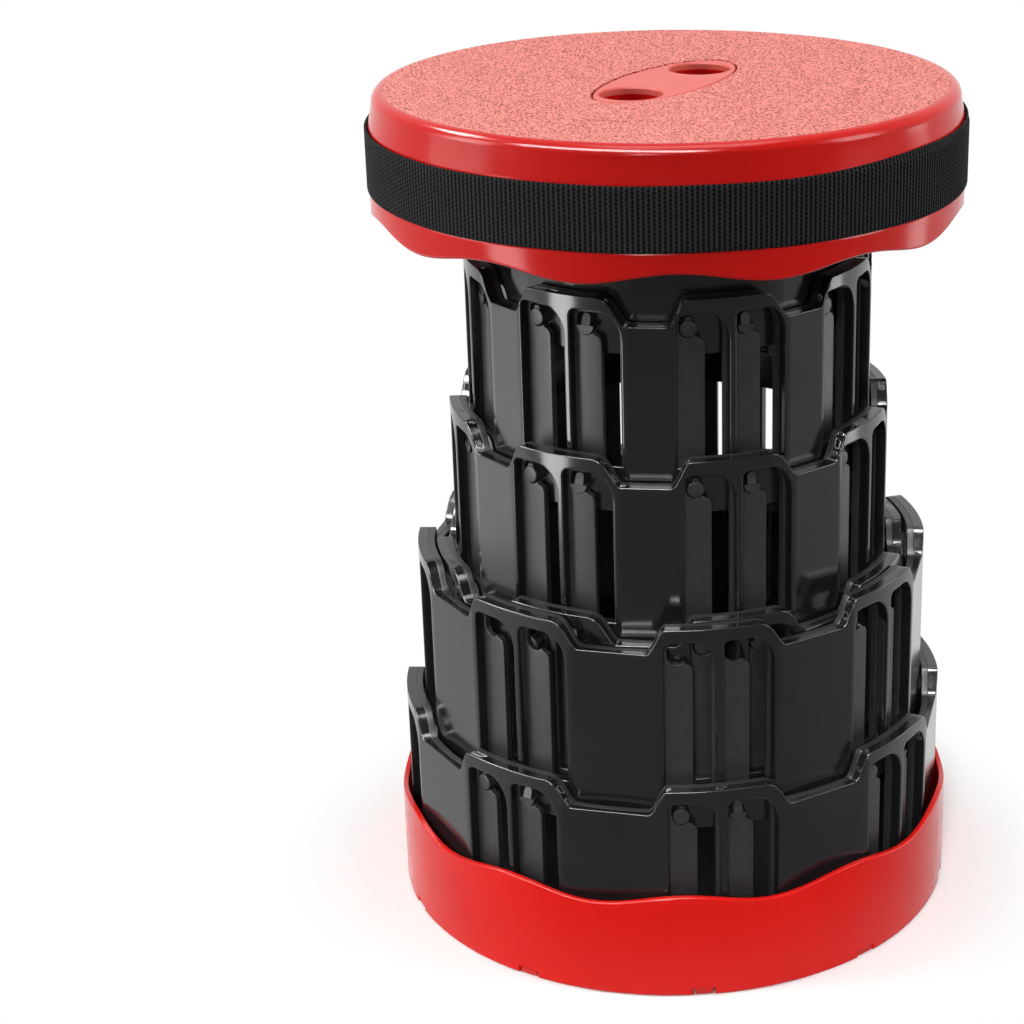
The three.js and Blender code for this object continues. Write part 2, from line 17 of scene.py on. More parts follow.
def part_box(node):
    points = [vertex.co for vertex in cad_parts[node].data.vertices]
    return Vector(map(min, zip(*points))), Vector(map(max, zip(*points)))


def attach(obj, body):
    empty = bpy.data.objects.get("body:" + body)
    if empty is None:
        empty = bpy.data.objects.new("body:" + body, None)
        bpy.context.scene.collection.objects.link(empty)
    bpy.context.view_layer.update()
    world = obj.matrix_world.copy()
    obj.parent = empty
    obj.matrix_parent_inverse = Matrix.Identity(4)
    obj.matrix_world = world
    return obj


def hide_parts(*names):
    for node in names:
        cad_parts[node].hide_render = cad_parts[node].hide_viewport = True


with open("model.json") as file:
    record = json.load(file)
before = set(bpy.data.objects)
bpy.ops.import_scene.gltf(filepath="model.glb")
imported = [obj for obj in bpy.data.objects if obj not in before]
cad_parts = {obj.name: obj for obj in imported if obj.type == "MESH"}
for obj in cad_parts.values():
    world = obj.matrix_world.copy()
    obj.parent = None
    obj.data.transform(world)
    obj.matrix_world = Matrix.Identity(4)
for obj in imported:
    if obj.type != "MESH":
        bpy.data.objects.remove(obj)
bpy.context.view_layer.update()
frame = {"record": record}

MM = 0.001
BODIES = ["base", "stage_2", "stage_3", "stage_4", "stage_5", "seat"]
SLEEVES = len(BODIES)


def in_mm(metres):
    return round(metres / MM, 1)


# Sizes that the frame gives
JOINTS = frame["record"]["behaviour"]["joints"]
TRAVEL = [in_mm(joint["range_m"][1] - joint["range_m"][0]) for joint in JOINTS]
SLEEVE_TOPS = [in_mm(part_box(f"sleeve_{k + 1}")[1][2]) for k in range(SLEEVES)]
BASE_RADIUS = in_mm(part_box("base_cup")[1][0])
SEAT_TOP = in_mm(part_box("seat_lid")[1][2])
STRAP_LOW = in_mm(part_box("seat_strap")[0][2])
STRAP_TOP = in_mm(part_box("seat_strap")[1][2])
STRAP_MIDDLE = (STRAP_LOW + STRAP_TOP) / 2
SEAT_SCREW_LOW = in_mm(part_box("seat_screw_1")[0][2])

# Fits
SEAT_GAP = 0.3
SCREW_CLEARANCE = 0.35
SHEET_OVERRUN = 3

# Distances within which points are merged: in a flat mesh, in its caps and, in metres, in a finished piece
MERGE = 1e-4
CAP_MERGE = 1e-5
PIECE_MERGE = 2e-6
PIECE_DEGENERATE = 1e-7

# Sleeves, counted from the outside in
OUTER_RADIUS = 120
SLEEVE_WALL = 7.3
RUNNING_CLEARANCE = 1.0
SLEEVE_RADII = [round(OUTER_RADIUS - k * (SLEEVE_WALL + RUNNING_CLEARANCE), 1) for k in range(SLEEVES)]
SLEEVE_HEIGHT = 89.4
PLAIN_FRONT = SLEEVES - 1
SECTORS = 8
SECTOR_DEGREES = 360 / SECTORS
LOWER_AZIMUTH = 9.5
UPPER_AZIMUTH = 16.5
SECTOR_AZIMUTHS = [LOWER_AZIMUTH] * 2 + [UPPER_AZIMUTH] * 4
SLEEVE_COLUMN_DEGREES = 1.6

# Battlements along a sleeve's rim
RIM_DROP = 11.2
RIM_SLOPE = 6.2
RIM_HALF = 19.8
RIM_HALF_RADIUS = 86.8
RIM_GROWTH = 0.15
RIM_ROUND = 0.45
LEFT_SHOULDER = 2
RIGHT_SHOULDER = 8
RIGHT_SHOULDER_CURVE = 1.6
SECTOR_OVERRUN = 4

# Channels: two in each raised sector, a sunk strip beside a slot
STRIP = 12.4
SLOT = 8.0
SLOT_LEDGE = 1.6
PITCH = 24.6
FIRST_LEFT = -(PITCH + STRIP + SLOT) / 2
LEFTS = [FIRST_LEFT, FIRST_LEFT + PITCH]
RECESS_DEPTH = 4.3
RECESS_BELOW_RIM = 5.6
RECESS_CORNER = (10.2, 12.5)
RECESS_NEAR_CORNER = 3
RECESS_ROUND_SHARE = 1.7
POCKET_BELOW_RIM = 7.6
POCKET_CORNER = (5.4, 6.6)
POCKET_NEAR_CORNER = 2.5
POCKET_INSET = 1.4
POCKET_ROUND = 0.35
SHOULDER_CORNER = (3.2, 3.4)
SHOULDER_BELOW_RIM = 20.2
SKIN = 3.0
STRIP_FOOT = 2
SLOT_FOOT = 0.4

# Flat panels between the channels
PANEL_FROM = 26.4
PANEL_TO = -24.6
PANEL_DEPTH = 1.6

# Pegs
PEG_RADIUS = 3.6
PEG_BELOW_RIM = 13.0
PEG_TIP_CLEARANCE = 0.4
PEG_ROOT = 1
PEG_CHAMFER = 0.8
PEG_CHAMFER_BOW = 0.25
CRADLE_RADIUS = 4.1
ABOVE_PEG = 3.6
FIN = [(-1.9, 2.4), (1.9, 2.4), (1.0, 4.8), (-0.8, 4.8)]
FIN_STEP = 0.7
TONGUE = [(-1.9, 0.0), (1.9, 0.0), (1.8, 3.3), (1.1, 4.6), (-1.1, 4.6), (-1.8, 3.3)]
TONGUE_STEP = 0.4
TONGUE_LEAN = 0.3

# Wavy edges of base and seat, which mate when the stool is closed
WAVES = 10
WAVE_HEIGHT = 2.2
WAVE_LOW = math.radians(19.5)
CLOSED_SEAM = 3

# Base
BASE_WALL = 2.5
BASE_FLOOR = 4
BASE_RIM = 44.8
BASE_RIM_ROUND = 0.8
BASE_FOOT_ROUND = 0.5
BASE_COLUMN_DEGREES = 1.2
BASE_FLOOR_OVERLAP = 0.1
BASE_FLOOR_RADIUS = BASE_RADIUS - BASE_WALL + BASE_FLOOR_OVERLAP

# Foot pads
PADS = 10
PAD_AZIMUTH = 5.5
PAD_TURNS = [math.radians(PAD_AZIMUTH + 360 / PADS * i) for i in range(PADS)]
PAD_WIDTH = 7.5
PAD_HEIGHT = 2.5
PAD_INNER = 110.0
PAD_OUTER = 123.2
PAD_GAP = 1
PAD_ROUND = 0.4
PAD_FOOT_ROUND = 0.5
NOTCH_HALF = PAD_WIDTH / 2 + PAD_GAP
NOTCH_HEIGHT = PAD_HEIGHT + SEAT_GAP

# Screws
SCREWS = 4
SCREW_HEAD_RADIUS = 3.1
SCREW_HEAD = 2.0
SCREW_HEAD_ROUND = 0.5
SCREW_CROSS = (0.45, 1.7)
SCREW_CROSS_DEPTH = 1.1
SCREW_LENGTH = 13
THREAD_CREST = 1.6
THREAD_ROOT = 1.25
THREAD_START = 1.5
THREAD_STEP = 0.5
SCREW_POST = 8
BASE_SCREW_SHIFT = (SCREW_POST / 2 - FIRST_LEFT) / OUTER_RADIUS
BASE_SCREW_TURNS = [math.radians(LOWER_AZIMUTH + 360 / SCREWS * i) - BASE_SCREW_SHIFT for i in range(SCREWS)]
BASE_SCREW_RADIUS = OUTER_RADIUS - SLEEVE_WALL / 2
SEAT_SCREW_TURNS = [math.radians(UPPER_AZIMUTH + 360 / SCREWS * i) for i in range(SCREWS)]
SEAT_SCREW_RADIUS = 66.2

# Seat
SEAT_PLATE = 4.4
SEAT_UNDER = SEAT_TOP - SEAT_PLATE
LID_TOP_RADIUS = 117.0
LID_ROUND = 4.6
LID_ROUND_DEGREES = [12, 24, 36, 48, 60, 72, 84]
LID_SHOULDER = (121.9, SEAT_TOP - 7.0)
LID_SHOULDER_FOOT = (123.3, STRAP_TOP + 0.6)
STRAP_BED_RADIUS = 123.5
SKIRT_RADIUS = 124.0
STRAP_BED = [
    (STRAP_BED_RADIUS, STRAP_TOP - 0.4),
    (STRAP_BED_RADIUS, STRAP_LOW + 0.6),
    (STRAP_BED_RADIUS + 0.05, STRAP_LOW),
    (SKIRT_RADIUS - 0.1, STRAP_LOW - 0.5),
    (SKIRT_RADIUS, STRAP_LOW - 1.2),
]
SKIRT_INNER = 121.2
SKIRT_ROUND = (SKIRT_RADIUS - SKIRT_INNER) / 2
SKIRT_ROUND_DEGREES = [0, -22, -45, -68, -90, -112, -135, -158, -180]
SKIRT_LOW = BASE_RIM + SLEEVE_TOPS[-1] - SLEEVE_TOPS[0] + CLOSED_SEAM
SKIRT_INNER_TOP = 340.0

# Heights above which the lid's wall is straight and its lower edge's wave has faded out
SKIRT_EVEN = 316.0
WAVE_FADE = 316.2

# Hollow under the seat, at its edge
SEAT_INNER_DROP = 4
SEAT_INNER_INSET = 0.8

# Oval grip plate with two finger holes
GRIP_ANGLE = math.radians(60.7)
GRIP_LONG = 48.6
GRIP_SHORT = 20.2
GRIP_GAP = 1.1
GRIP_THICKNESS = 3
GRIP_SUNK = 0.1
GRIP_ROUND = 0.9
FINGER_REACH = 29.2
FINGER_RADIUS = 13.0
FINGER_TUBE_RADIUS = 14.8
FINGER_TUBE_DEPTH = 14
FINGER_TUBE_TAPER = 0.1
FINGER_TUBE_CHAMFER = (0.2, 0.4)

# Webbing: the ribs round the strap, the points along one rib and the ribs' pitch along the handle
RIBS = 392
RIB_POINTS = 6
RIB_PITCH = 2.0

# First turn of the strap. Its sways are (height, waves, phase)
STRAP_RIB = 0.22
STRAP_EDGE_RIB_SHARE = 0.3
STRAP_SWAYS = [(0.2, 3, 0.5), (0.096, 11, 0)]
STRAP_FACE_RADIUS = 124.85
STRAP_EDGE_RADIUS = 124.55
STRAP_BACK_RADIUS = 123.9
STRAP_FACE_INSET = 0.4
STRAP_BACK_INSET = 0.3
STRAP_FACE_ROWS = 15

# Second turn of the strap, which sinks away at both ends. Its sway is (height, waves)
SECOND_TURN_DEGREES = (6, 150)
SECOND_TURN_FADE_DEGREES = 52
SECOND_TURN_RISE = 3.0
SECOND_TURN_SWAY = (0.15, 9)
SECOND_TURN_RIB = 0.12
SECOND_TURN_FRONT = 124.45
SECOND_TURN_BACK = 123.6
SECOND_TURN_BEVEL = (0.15, 0.5)
SECOND_TURN_DEPTH = 4
SECOND_TURN_SUNK = 0.6

# Handle and rivets
HANDLE_RIB = 0.14
HANDLE_EDGE = 0.4
HANDLE_WIDTH = 21
HANDLE_THICKNESS = 1.2
HANDLE_INNER = 125.55
HANDLE_BULGE = 42
HANDLE_DEGREES = 29
HANDLE_FREE_DEGREES = 23
HANDLE_STEPS = 241
TAB_WIDTH = 20.6
TAB_THICKNESS = 1.0
TAB_LIFT = 1.3
TAB_FROM_DEGREES = 22.6
RIVET_DEGREES = 26
RIVET_SEAT = 128.1
RIVET_ROOT = 121.6
RIVET_SHANK = 2.0
RIVET_DOME = [(0.01, 2.0), (1.2, 1.96), (2.4, 1.75), (3.6, 1.3), (4.5, 0.75), (4.95, 0.35), (5.0, 0.1)]
RIVET_EDGE_RADIUS = 4.8

# Sink marks on top of the seat, in metres: a scalloped ring and the spokes inside it
MARKS = 8
MARK_RING_RADIUS = 0.082
MARK_RING_SWAY = 0.0022
MARK_RING_WIDTH = 0.0022
MARK_SPOKE_REACH = 0.076
MARK_SPOKE_WIDTH = 0.0018
MARK_SPOKE_TURN = 0.2

# Floor and backdrop, in metres
FLOOR_REACH = 6.0
FLOOR_LEVEL = -0.0004
FLOOR_CLEAR = 0.118
FLOOR_FADE = (0.125, 0.19)

# Where reflections of the backdrop are dimmer: a turn from the front, in radians
DIM_TURN = 0.25
DIM_SPAN = (0.5, 1.6)
DIM_LEVEL = 0.3


# Materials

def material(name, colour, roughness, specular=0.5):
    made = bpy.data.materials.new(name)
    made.use_nodes = True
    shader = made.node_tree.nodes["Principled BSDF"]
    shader.inputs["Base Color"].default_value = (*colour, 1)
    shader.inputs["Roughness"].default_value = roughness
    shader.inputs["Specular IOR Level"].default_value = specular
    return made, made.node_tree, shader


def node(tree, kind, **values):
    made = tree.nodes.new(kind)
    for key, value in values.items():
        if key in made.inputs:
            made.inputs[key].default_value = value
        else:
            setattr(made, key, value)
    return made


def place_of(tree):
    return tree.nodes.new("ShaderNodeTexCoord").outputs["Object"]


def noise(tree, scale, detail=4.0, rough=0.55):
    made = node(tree, "ShaderNodeTexNoise", Scale=scale, Detail=detail, Roughness=rough)
    tree.links.new(place_of(tree), made.inputs["Vector"])
    return made.outputs["Fac"]


def math_node(tree, operation, first, second=None, third=None):
    made = tree.nodes.new("ShaderNodeMath")
    made.operation = operation
    for slot, value in enumerate((first, second, third)):
        if value is None:
            continue
        if isinstance(value, (int, float)):
            made.inputs[slot].default_value = value
        else:
            tree.links.new(value, made.inputs[slot])
    return made.outputs[0]


def spread(tree, source, low, high):
    """Maps a 0 to 1 value to low to high."""
    return math_node(tree, "MULTIPLY_ADD", source, high - low, low)


def smooth_step(tree, source, start, end, low, high):
    """Goes smoothly from low to high while the source goes from start to end."""
    made = node(tree, "ShaderNodeMapRange", interpolation_type="SMOOTHSTEP")
    tree.links.new(source, made.inputs[0])
    for slot, value in enumerate((start, end, low, high), 1):
        made.inputs[slot].default_value = value
    return made.outputs[0]


def split(tree, vector):
    parts = tree.nodes.new("ShaderNodeSeparateXYZ")
    tree.links.new(vector, parts.inputs[0])
    return parts.outputs


def turn_of(tree, across, along):
    """The azimuth of a place."""
    return math_node(tree, "ARCTAN2", across, math_node(tree, "MULTIPLY", along, -1.0))


def add_bump(tree, shader, height, strength, distance):
    bump = node(tree, "ShaderNodeBump", Strength=strength, Distance=distance)
    tree.links.new(height, bump.inputs["Height"])
    tree.links.new(bump.outputs[0], shader.inputs["Normal"])


def shade_of(tree, shader, source, dark, light):
    ramp = tree.nodes.new("ShaderNodeValToRGB")
    ramp.color_ramp.elements[0].position = 0.3
    ramp.color_ramp.elements[0].color = (*dark, 1)
    ramp.color_ramp.elements[1].position = 0.7
    ramp.color_ramp.elements[1].color = (*light, 1)
    tree.links.new(source, ramp.inputs[0])
    tree.links.new(ramp.outputs[0], shader.inputs["Base Color"])


def black_polished():
    """Smooth moulded plastic of the sleeves' outside."""
    made, tree, shader = material("black_polished", (0.008, 0.008, 0.009), 0.2, 0.45)
    shade_of(tree, shader, noise(tree, 30), (0.007, 0.007, 0.008), (0.011, 0.011, 0.012))
    tree.links.new(spread(tree, noise(tree, 55), 0.11, 0.2), shader.inputs["Roughness"])
    add_bump(tree, shader, noise(tree, 60, 2), 0.03, 0.0005)
    return made


def black_matte():
    """The sunk strips, the pegs and the inside: a fine spark-eroded texture, lighter than the outside. On the
    floor inside the base cup it is painted shade, put in place of the cup's red.
    """
    made, tree, shader = material("black_matte", (0.018, 0.018, 0.019), 0.4, 0.45)
    shade_of(tree, shader, noise(tree, 240), (0.014, 0.014, 0.015), (0.022, 0.022, 0.023))
    tree.links.new(spread(tree, noise(tree, 90), 0.36, 0.46), shader.inputs["Roughness"])
    add_bump(tree, shader, noise(tree, 2200, 2), 0.25, 0.0001)
    return made


def red_gloss():
    """Glossy moulded plastic of the base and of the seat's side."""
    made, tree, shader = material("red_gloss", (0.64, 0.008, 0.005), 0.2, 0.18)
    shade_of(tree, shader, noise(tree, 18), (0.62, 0.007, 0.004), (0.67, 0.009, 0.006))
    tree.links.new(spread(tree, noise(tree, 60), 0.13, 0.2), shader.inputs["Roughness"])
    add_bump(tree, shader, noise(tree, 45, 2), 0.04, 0.0006)
    return made


def sink_marks(tree, place):
    """1 on the faint marks of the ribs below the seat and 0 off them."""
    across, along, _ = split(tree, place)
    squares = math_node(tree, "MULTIPLY_ADD", across, across, math_node(tree, "MULTIPLY", along, along))
    radius = math_node(tree, "SQRT", squares)
    angle = math_node(tree, "ARCTAN2", along, across)
    sway = math_node(tree, "SINE", math_node(tree, "MULTIPLY", angle, MARKS))
    ring_radius = math_node(tree, "MULTIPLY_ADD", sway, MARK_RING_SWAY, MARK_RING_RADIUS)
    off_ring = math_node(tree, "ABSOLUTE", math_node(tree, "SUBTRACT", radius, ring_radius))
    ring = smooth_step(tree, off_ring, 0.0, MARK_RING_WIDTH, 1.0, 0.0)
    from_spoke = math_node(tree, "ADD", angle, math.pi + MARK_SPOKE_TURN)
    from_spoke = math_node(tree, "PINGPONG", from_spoke, math.pi / MARKS)
    off_spoke = math_node(tree, "MULTIPLY", from_spoke, radius)
    spoke = smooth_step(tree, off_spoke, 0.0, MARK_SPOKE_WIDTH, 1.0, 0.0)
    inner = math_node(tree, "LESS_THAN", radius, MARK_SPOKE_REACH)
    return math_node(tree, "MAXIMUM", ring, math_node(tree, "MULTIPLY", spoke, inner))


def red_grained():
    """Leather grain with the faint sink marks of the ribs below. The pink of its colour, and part of its
    spread across the grain, is a painted sheen: the reflection of the light from above. The marks are painted
    a little darker as painted shade in their shallow dips.
    """
    # The pinkish default colour holds the same painted sheen.
    made, tree, shader = material("red_grained", (0.78, 0.2, 0.17), 0.5, 0.12)
    place = place_of(tree)
    grain = node(tree, "ShaderNodeTexVoronoi", Scale=900.0, feature="SMOOTH_F1")
    grain.inputs["Smoothness"].default_value = 0.4
    tree.links.new(place, grain.inputs["Vector"])
    marks = sink_marks(tree, place)
    cells = math_node(tree, "MULTIPLY_ADD", grain.outputs["Distance"], 1.5, -0.25)
    fine = math_node(tree, "MULTIPLY_ADD", noise(tree, 420, 3, 0.6), 0.3, cells)
    add_bump(tree, shader, math_node(tree, "MULTIPLY_ADD", marks, -0.55, fine), 1.0, 0.0006)
    # Painted shade: the sink marks darken the colour, as if their shallow dips were in shade.
    tone = math_node(tree, "MULTIPLY_ADD", marks, -0.09, fine)
    # Painted sheen: the pink light end stands in for the reflection of the light from above.
    shade_of(tree, shader, tone, (0.34, 0.028, 0.022), (0.98, 0.31, 0.26))
    return made


def red_satin():
    """Satin moulded plastic of the grip plate."""
    made, tree, shader = material("red_satin", (0.71, 0.15, 0.12), 0.4, 0.2)
    shade_of(tree, shader, noise(tree, 60), (0.72, 0.105, 0.08), (0.78, 0.125, 0.1))
    tree.links.new(spread(tree, noise(tree, 70), 0.34, 0.44), shader.inputs["Roughness"])
    add_bump(tree, shader, noise(tree, 500, 2), 0.05, 0.0003)
    return made


def webbing(name):
    """Woven tape: rows of stitches, as a brick pattern from rib to rib round the stool. Each rib's crest is
    painted lighter and the gap between ribs darker: painted highlight and shade.
    """
    black = (0.006, 0.006, 0.0065)
    stitch_pitch = 0.0017
    made, tree, shader = material(name, black, 0.8, 0.05)
    shader.inputs["Sheen Weight"].default_value = 0.02
    across, depth, up = split(tree, place_of(tree))
    along = math_node(tree, "MULTIPLY", turn_of(tree, across, depth), RIBS)
    rib = math_node(tree, "FLOOR", math_node(tree, "DIVIDE", along, 2 * math.pi))
    row = math_node(tree, "MULTIPLY", up, 2 * math.pi / stitch_pitch)
    weave = math_node(tree, "SINE", math_node(tree, "ADD", row, math_node(tree, "MULTIPLY", rib, math.pi)))
    half_weave = math_node(tree, "MULTIPLY", weave, 0.5)
    threads = math_node(tree, "MULTIPLY_ADD", noise(tree, 2600, 2), 0.6, half_weave)
    add_bump(tree, shader, threads, 0.8, 0.0004)
    # Painted highlight and shade: the colour is lighter on each rib's crest and darker between the ribs. The
    # threads' brick pattern is the weave's own.
    crest_painted_highlight = math_node(tree, "MULTIPLY", math_node(tree, "COSINE", along), 0.4)
    tone = math_node(tree, "MULTIPLY_ADD", threads, 0.3, math_node(tree, "ADD", crest_painted_highlight, 0.36))
    shade_of(tree, shader, tone, tuple(c * 0.1 for c in black), tuple(c * 5.5 for c in black))
    return made


def pad_rubber():
    made, tree, shader = material("pad_rubber", (0.52, 0.01, 0.006), 0.6, 0.3)
    shade_of(tree, shader, noise(tree, 200), (0.47, 0.009, 0.005), (0.56, 0.012, 0.007))
    add_bump(tree, shader, noise(tree, 900), 0.2, 0.0003)
    return made


def bright_steel():
    made, tree, shader = material("bright_steel", (0.62, 0.62, 0.63), 0.25)
    shader.inputs["Metallic"].default_value = 1.0
    tree.links.new(spread(tree, noise(tree, 400), 0.2, 0.36), shader.inputs["Roughness"])
    add_bump(tree, shader, noise(tree, 700), 0.08, 0.0002)
    return made


BLACK = black_polished()
MATTE = black_matte()
GLOSS = red_gloss()
GRAINED = red_grained()
SATIN = red_satin()
STRAP_CLOTH = webbing("strap_webbing")
HANDLE_CLOTH = webbing("handle_webbing")
RUBBER = pad_rubber()
STEEL = bright_steel()


# Outlines

def arc(cx, cy, rx, ry, start, end, steps):
    """Points of an ellipse arc between two angles in degrees."""
    turns = np.radians(np.linspace(start, end, steps + 1))
    return [(cx + rx * math.cos(t), cy + ry * math.sin(t)) for t in turns]


def circle(radius, count, cx=0.0, cy=0.0):
    turns = [2 * math.pi * i / count for i in range(count)]
    return [(cx + radius * math.cos(t), cy + radius * math.sin(t)) for t in turns]


def at(radius, turn):
    return radius * math.sin(turn), -radius * math.cos(turn)


def inset(loop, amount):
    """Moves a closed loop to its left by an amount."""
    points = np.asarray(loop, float)
    before = points - np.roll(points, 1, 0)
    after = np.roll(points, -1, 0) - points
    before /= np.linalg.norm(before, axis=1)[:, None]
    after /= np.linalg.norm(after, axis=1)[:, None]
    first = np.stack([-before[:, 1], before[:, 0]], 1)
    second = np.stack([-after[:, 1], after[:, 0]], 1)
    miter = (first + second) / (1 + np.sum(first * second, axis=1))[:, None]
    return points + amount * miter


def turned(loop, anticlockwise):
    """The loop, reversed where it runs the other way round."""
    points = np.asarray(loop, float)
    following = np.roll(points, -1, 0)
    area = np.sum(points[:, 0] * following[:, 1] - following[:, 0] * points[:, 1])
    return points if (area > 0) == anticlockwise else points[::-1]


def within(points, loop):
    """Which of the points lie inside a closed loop."""
    loop = np.asarray(loop, float)
    crossings = np.zeros(len(points), int)
    for (x0, y0), (x1, y1) in zip(loop, np.roll(loop, -1, 0)):
        if y0 == y1:
            continue
        spans = (points[:, 1] >= min(y0, y1)) & (points[:, 1] < max(y0, y1))
        along = x0 + (points[:, 1] - y0) * (x1 - x0) / (y1 - y0)
        crossings += spans & (along > points[:, 0])
    return crossings % 2 == 1


# Plates: flat meshes of (along, up, out)

def cap(mesh, loops, depth, up):
    """Fills loops, the first of them the outline and the others holes, at a depth."""
    flat, edges = [], []
    for loop in loops:
        start = len(flat)
        flat += [Vector(p) for p in loop]
        edges += [(start + i, start + (i + 1) % len(loop)) for i in range(len(loop))]
    verts, _, faces, *_ = delaunay_2d_cdt(flat, edges, [], 1, CAP_MERGE)
    made = [mesh.verts.new((v[0], v[1], depth)) for v in verts]
    places = np.array([v[:] for v in verts])
    middles = np.array([places[face].mean(0) for face in faces])
    solid = within(middles, loops[0])
    for hole in loops[1:]:
        solid &= ~within(middles, hole)
    for face, kept in zip(faces, solid):
        if kept:
            mesh.faces.new([made[i] for i in (face if up else face[::-1])])


def wall(mesh, low_loop, low, high_loop, high):
    count = len(low_loop)
    below = [mesh.verts.new((*p, low)) for p in low_loop]
    above = [mesh.verts.new((*p, high)) for p in high_loop]
    for i in range(count):
        j = (i + 1) % count
        mesh.faces.new((below[i], below[j], above[j], above[i]))


def plate(mesh, loops, back, front, rounding=0.0, steps=3, back_rounding=0.0, hole_share=1.0):
    """A plate with its front edges rounded, and its back ones too where that is asked.

    hole_share widens the rounding of the holes.
    """
    ordered = [turned(loop, i == 0) for i, loop in enumerate(loops)]
    quarter = [math.pi / 2 * i / steps for i in range(steps + 1)]
    levels = []
    for t in quarter if back_rounding else quarter[-1:]:
        levels.append((back_rounding * (1 - math.sin(t)), back + back_rounding * (1 - math.cos(t))))
    for t in quarter if rounding else quarter[:1]:
        levels.append((rounding * (1 - math.cos(t)), front - rounding * (1 - math.sin(t))))
    shares = [1.0] + [hole_share] * (len(loops) - 1)
    rings = [[inset(loop, amount * share) if amount else loop for loop, share in zip(ordered, shares)]
             for amount, _ in levels]
    for level in range(len(levels) - 1):
        for low_loop, high_loop in zip(rings[level], rings[level + 1]):
            wall(mesh, low_loop, levels[level][1], high_loop, levels[level + 1][1])
    cap(mesh, rings[0], levels[0][1], False)
    cap(mesh, rings[-1], levels[-1][1], True)


def slice_up(mesh, low, high, width, extra=()):
    """Cuts a flat mesh into upright columns, and off at low and high."""
    bmesh.ops.remove_doubles(mesh, verts=mesh.verts, dist=MERGE)
    count = max(2, round((high - low) / width))
    places = [low + (high - low) * i / count for i in range(1, count)] + list(extra)
    for place in places:
        geometry = mesh.verts[:] + mesh.edges[:] + mesh.faces[:]
        bmesh.ops.bisect_plane(mesh, geom=geometry, dist=MERGE, plane_co=(place, 0, 0), plane_no=(1, 0, 0))
    for place, side in ((low, -1), (high, 1)):
        geometry = mesh.verts[:] + mesh.edges[:] + mesh.faces[:]
        bmesh.ops.bisect_plane(
            mesh, geom=geometry, dist=MERGE, plane_co=(place, 0, 0), plane_no=(side, 0, 0), clear_outer=True,
        )


def taken_from(mesh):
    """A mesh's points and faces, after which the mesh is freed."""
    mesh.verts.index_update()
    points = np.array([v.co[:] for v in mesh.verts], float)
    faces = [[v.index for v in f.verts] for f in mesh.faces]
    mesh.free()
    return points, faces


def wrapped(points, radius, azimuth, top=0.0, bend=None):
    """Wraps (along, up, out) points round a cylinder. bend(angle, out) adds to the last."""
    angle = points[:, 0] / radius
    out = points[:, 2] + (bend(angle, points[:, 2]) if bend else 0)
    reach = radius + out
    turn = azimuth + angle
    return np.stack([reach * np.sin(turn), -reach * np.cos(turn), top + points[:, 1]], 1)


def facing(points, azimuth, height=0.0):
    """Turns (along, up, out) points, with out counted from the stool's axis, to an azimuth."""
    along, up, out = np.asarray(points, float).T
    sine, cosine = math.sin(azimuth), math.cos(azimuth)
    return np.stack([out * sine + along * cosine, along * sine - out * cosine, height + up], 1)


def revolved(profile, columns, lift=None):
    """Points and faces of a profile of (radius, height) turned about Z."""
    turn = np.arange(columns) * 2 * math.pi / columns
    rows = []
    for radius, height in profile:
        up = height + (lift(height, turn) if lift else 0) * np.ones(columns)
        rows.append(np.stack([radius * np.sin(turn), -radius * np.cos(turn), up], 1))
    return np.concatenate(rows), grid(len(profile), columns, True)


def grid(rows, columns, closed):
    """The faces between rows of points, which close on themselves or don't."""
    faces = []
    for r in range(rows - 1):
        for i in range(columns if closed else columns - 1):
            j = (i + 1) % columns
            faces.append([r * columns + i, r * columns + j, (r + 1) * columns + j, (r + 1) * columns + i])
    return faces


class Shape:
    """Gathers points and faces in millimetres, with a material number for each face."""

    def __init__(self):
        self.points = []
        self.faces = []
        self.marks = []

    def add(self, points, faces, mark=0):
        start = sum(len(p) for p in self.points)
        self.points.append(np.asarray(points, float))
        self.faces += [[start + i for i in face] for face in faces]
        self.marks += [mark] * len(faces)

    def add_plate(self, loops, low, high, mark=0, **rounding):
        """A level plate between two heights."""
        work = bmesh.new()
        plate(work, loops, low, high, **rounding)
        bmesh.ops.remove_doubles(work, verts=work.verts, dist=MERGE)
        self.add(*taken_from(work), mark)

    def made(self, name, materials, node_names, body, slot, sharp=40.0, weighted=True):
        data = bpy.data.meshes.new(name)
        data.from_pydata((np.concatenate(self.points) * MM).tolist(), [], self.faces)
        data.polygons.foreach_set("material_index", self.marks)
        work = bmesh.new()
        work.from_mesh(data)
        bmesh.ops.remove_doubles(work, verts=work.verts, dist=PIECE_MERGE)
        bmesh.ops.dissolve_degenerate(work, edges=work.edges, dist=PIECE_DEGENERATE)
        work.to_mesh(data)
        work.free()
        for one in materials:
            data.materials.append(one)
        for polygon in data.polygons:
            polygon.use_smooth = True
        data.set_sharp_from_angle(angle=math.radians(sharp))
        piece = bpy.data.objects.new(name, data)
        bpy.context.scene.collection.objects.link(piece)
        if weighted:
            modifier = piece.modifiers.new("weighted", "WEIGHTED_NORMAL")
            modifier.keep_sharp = True
            modifier.weight = 70
        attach(piece, body)
        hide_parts(*node_names)


# Sleeves

def rim_drop(share):
    return -RIM_DROP * (1 - math.cos(math.pi * share)) / 2


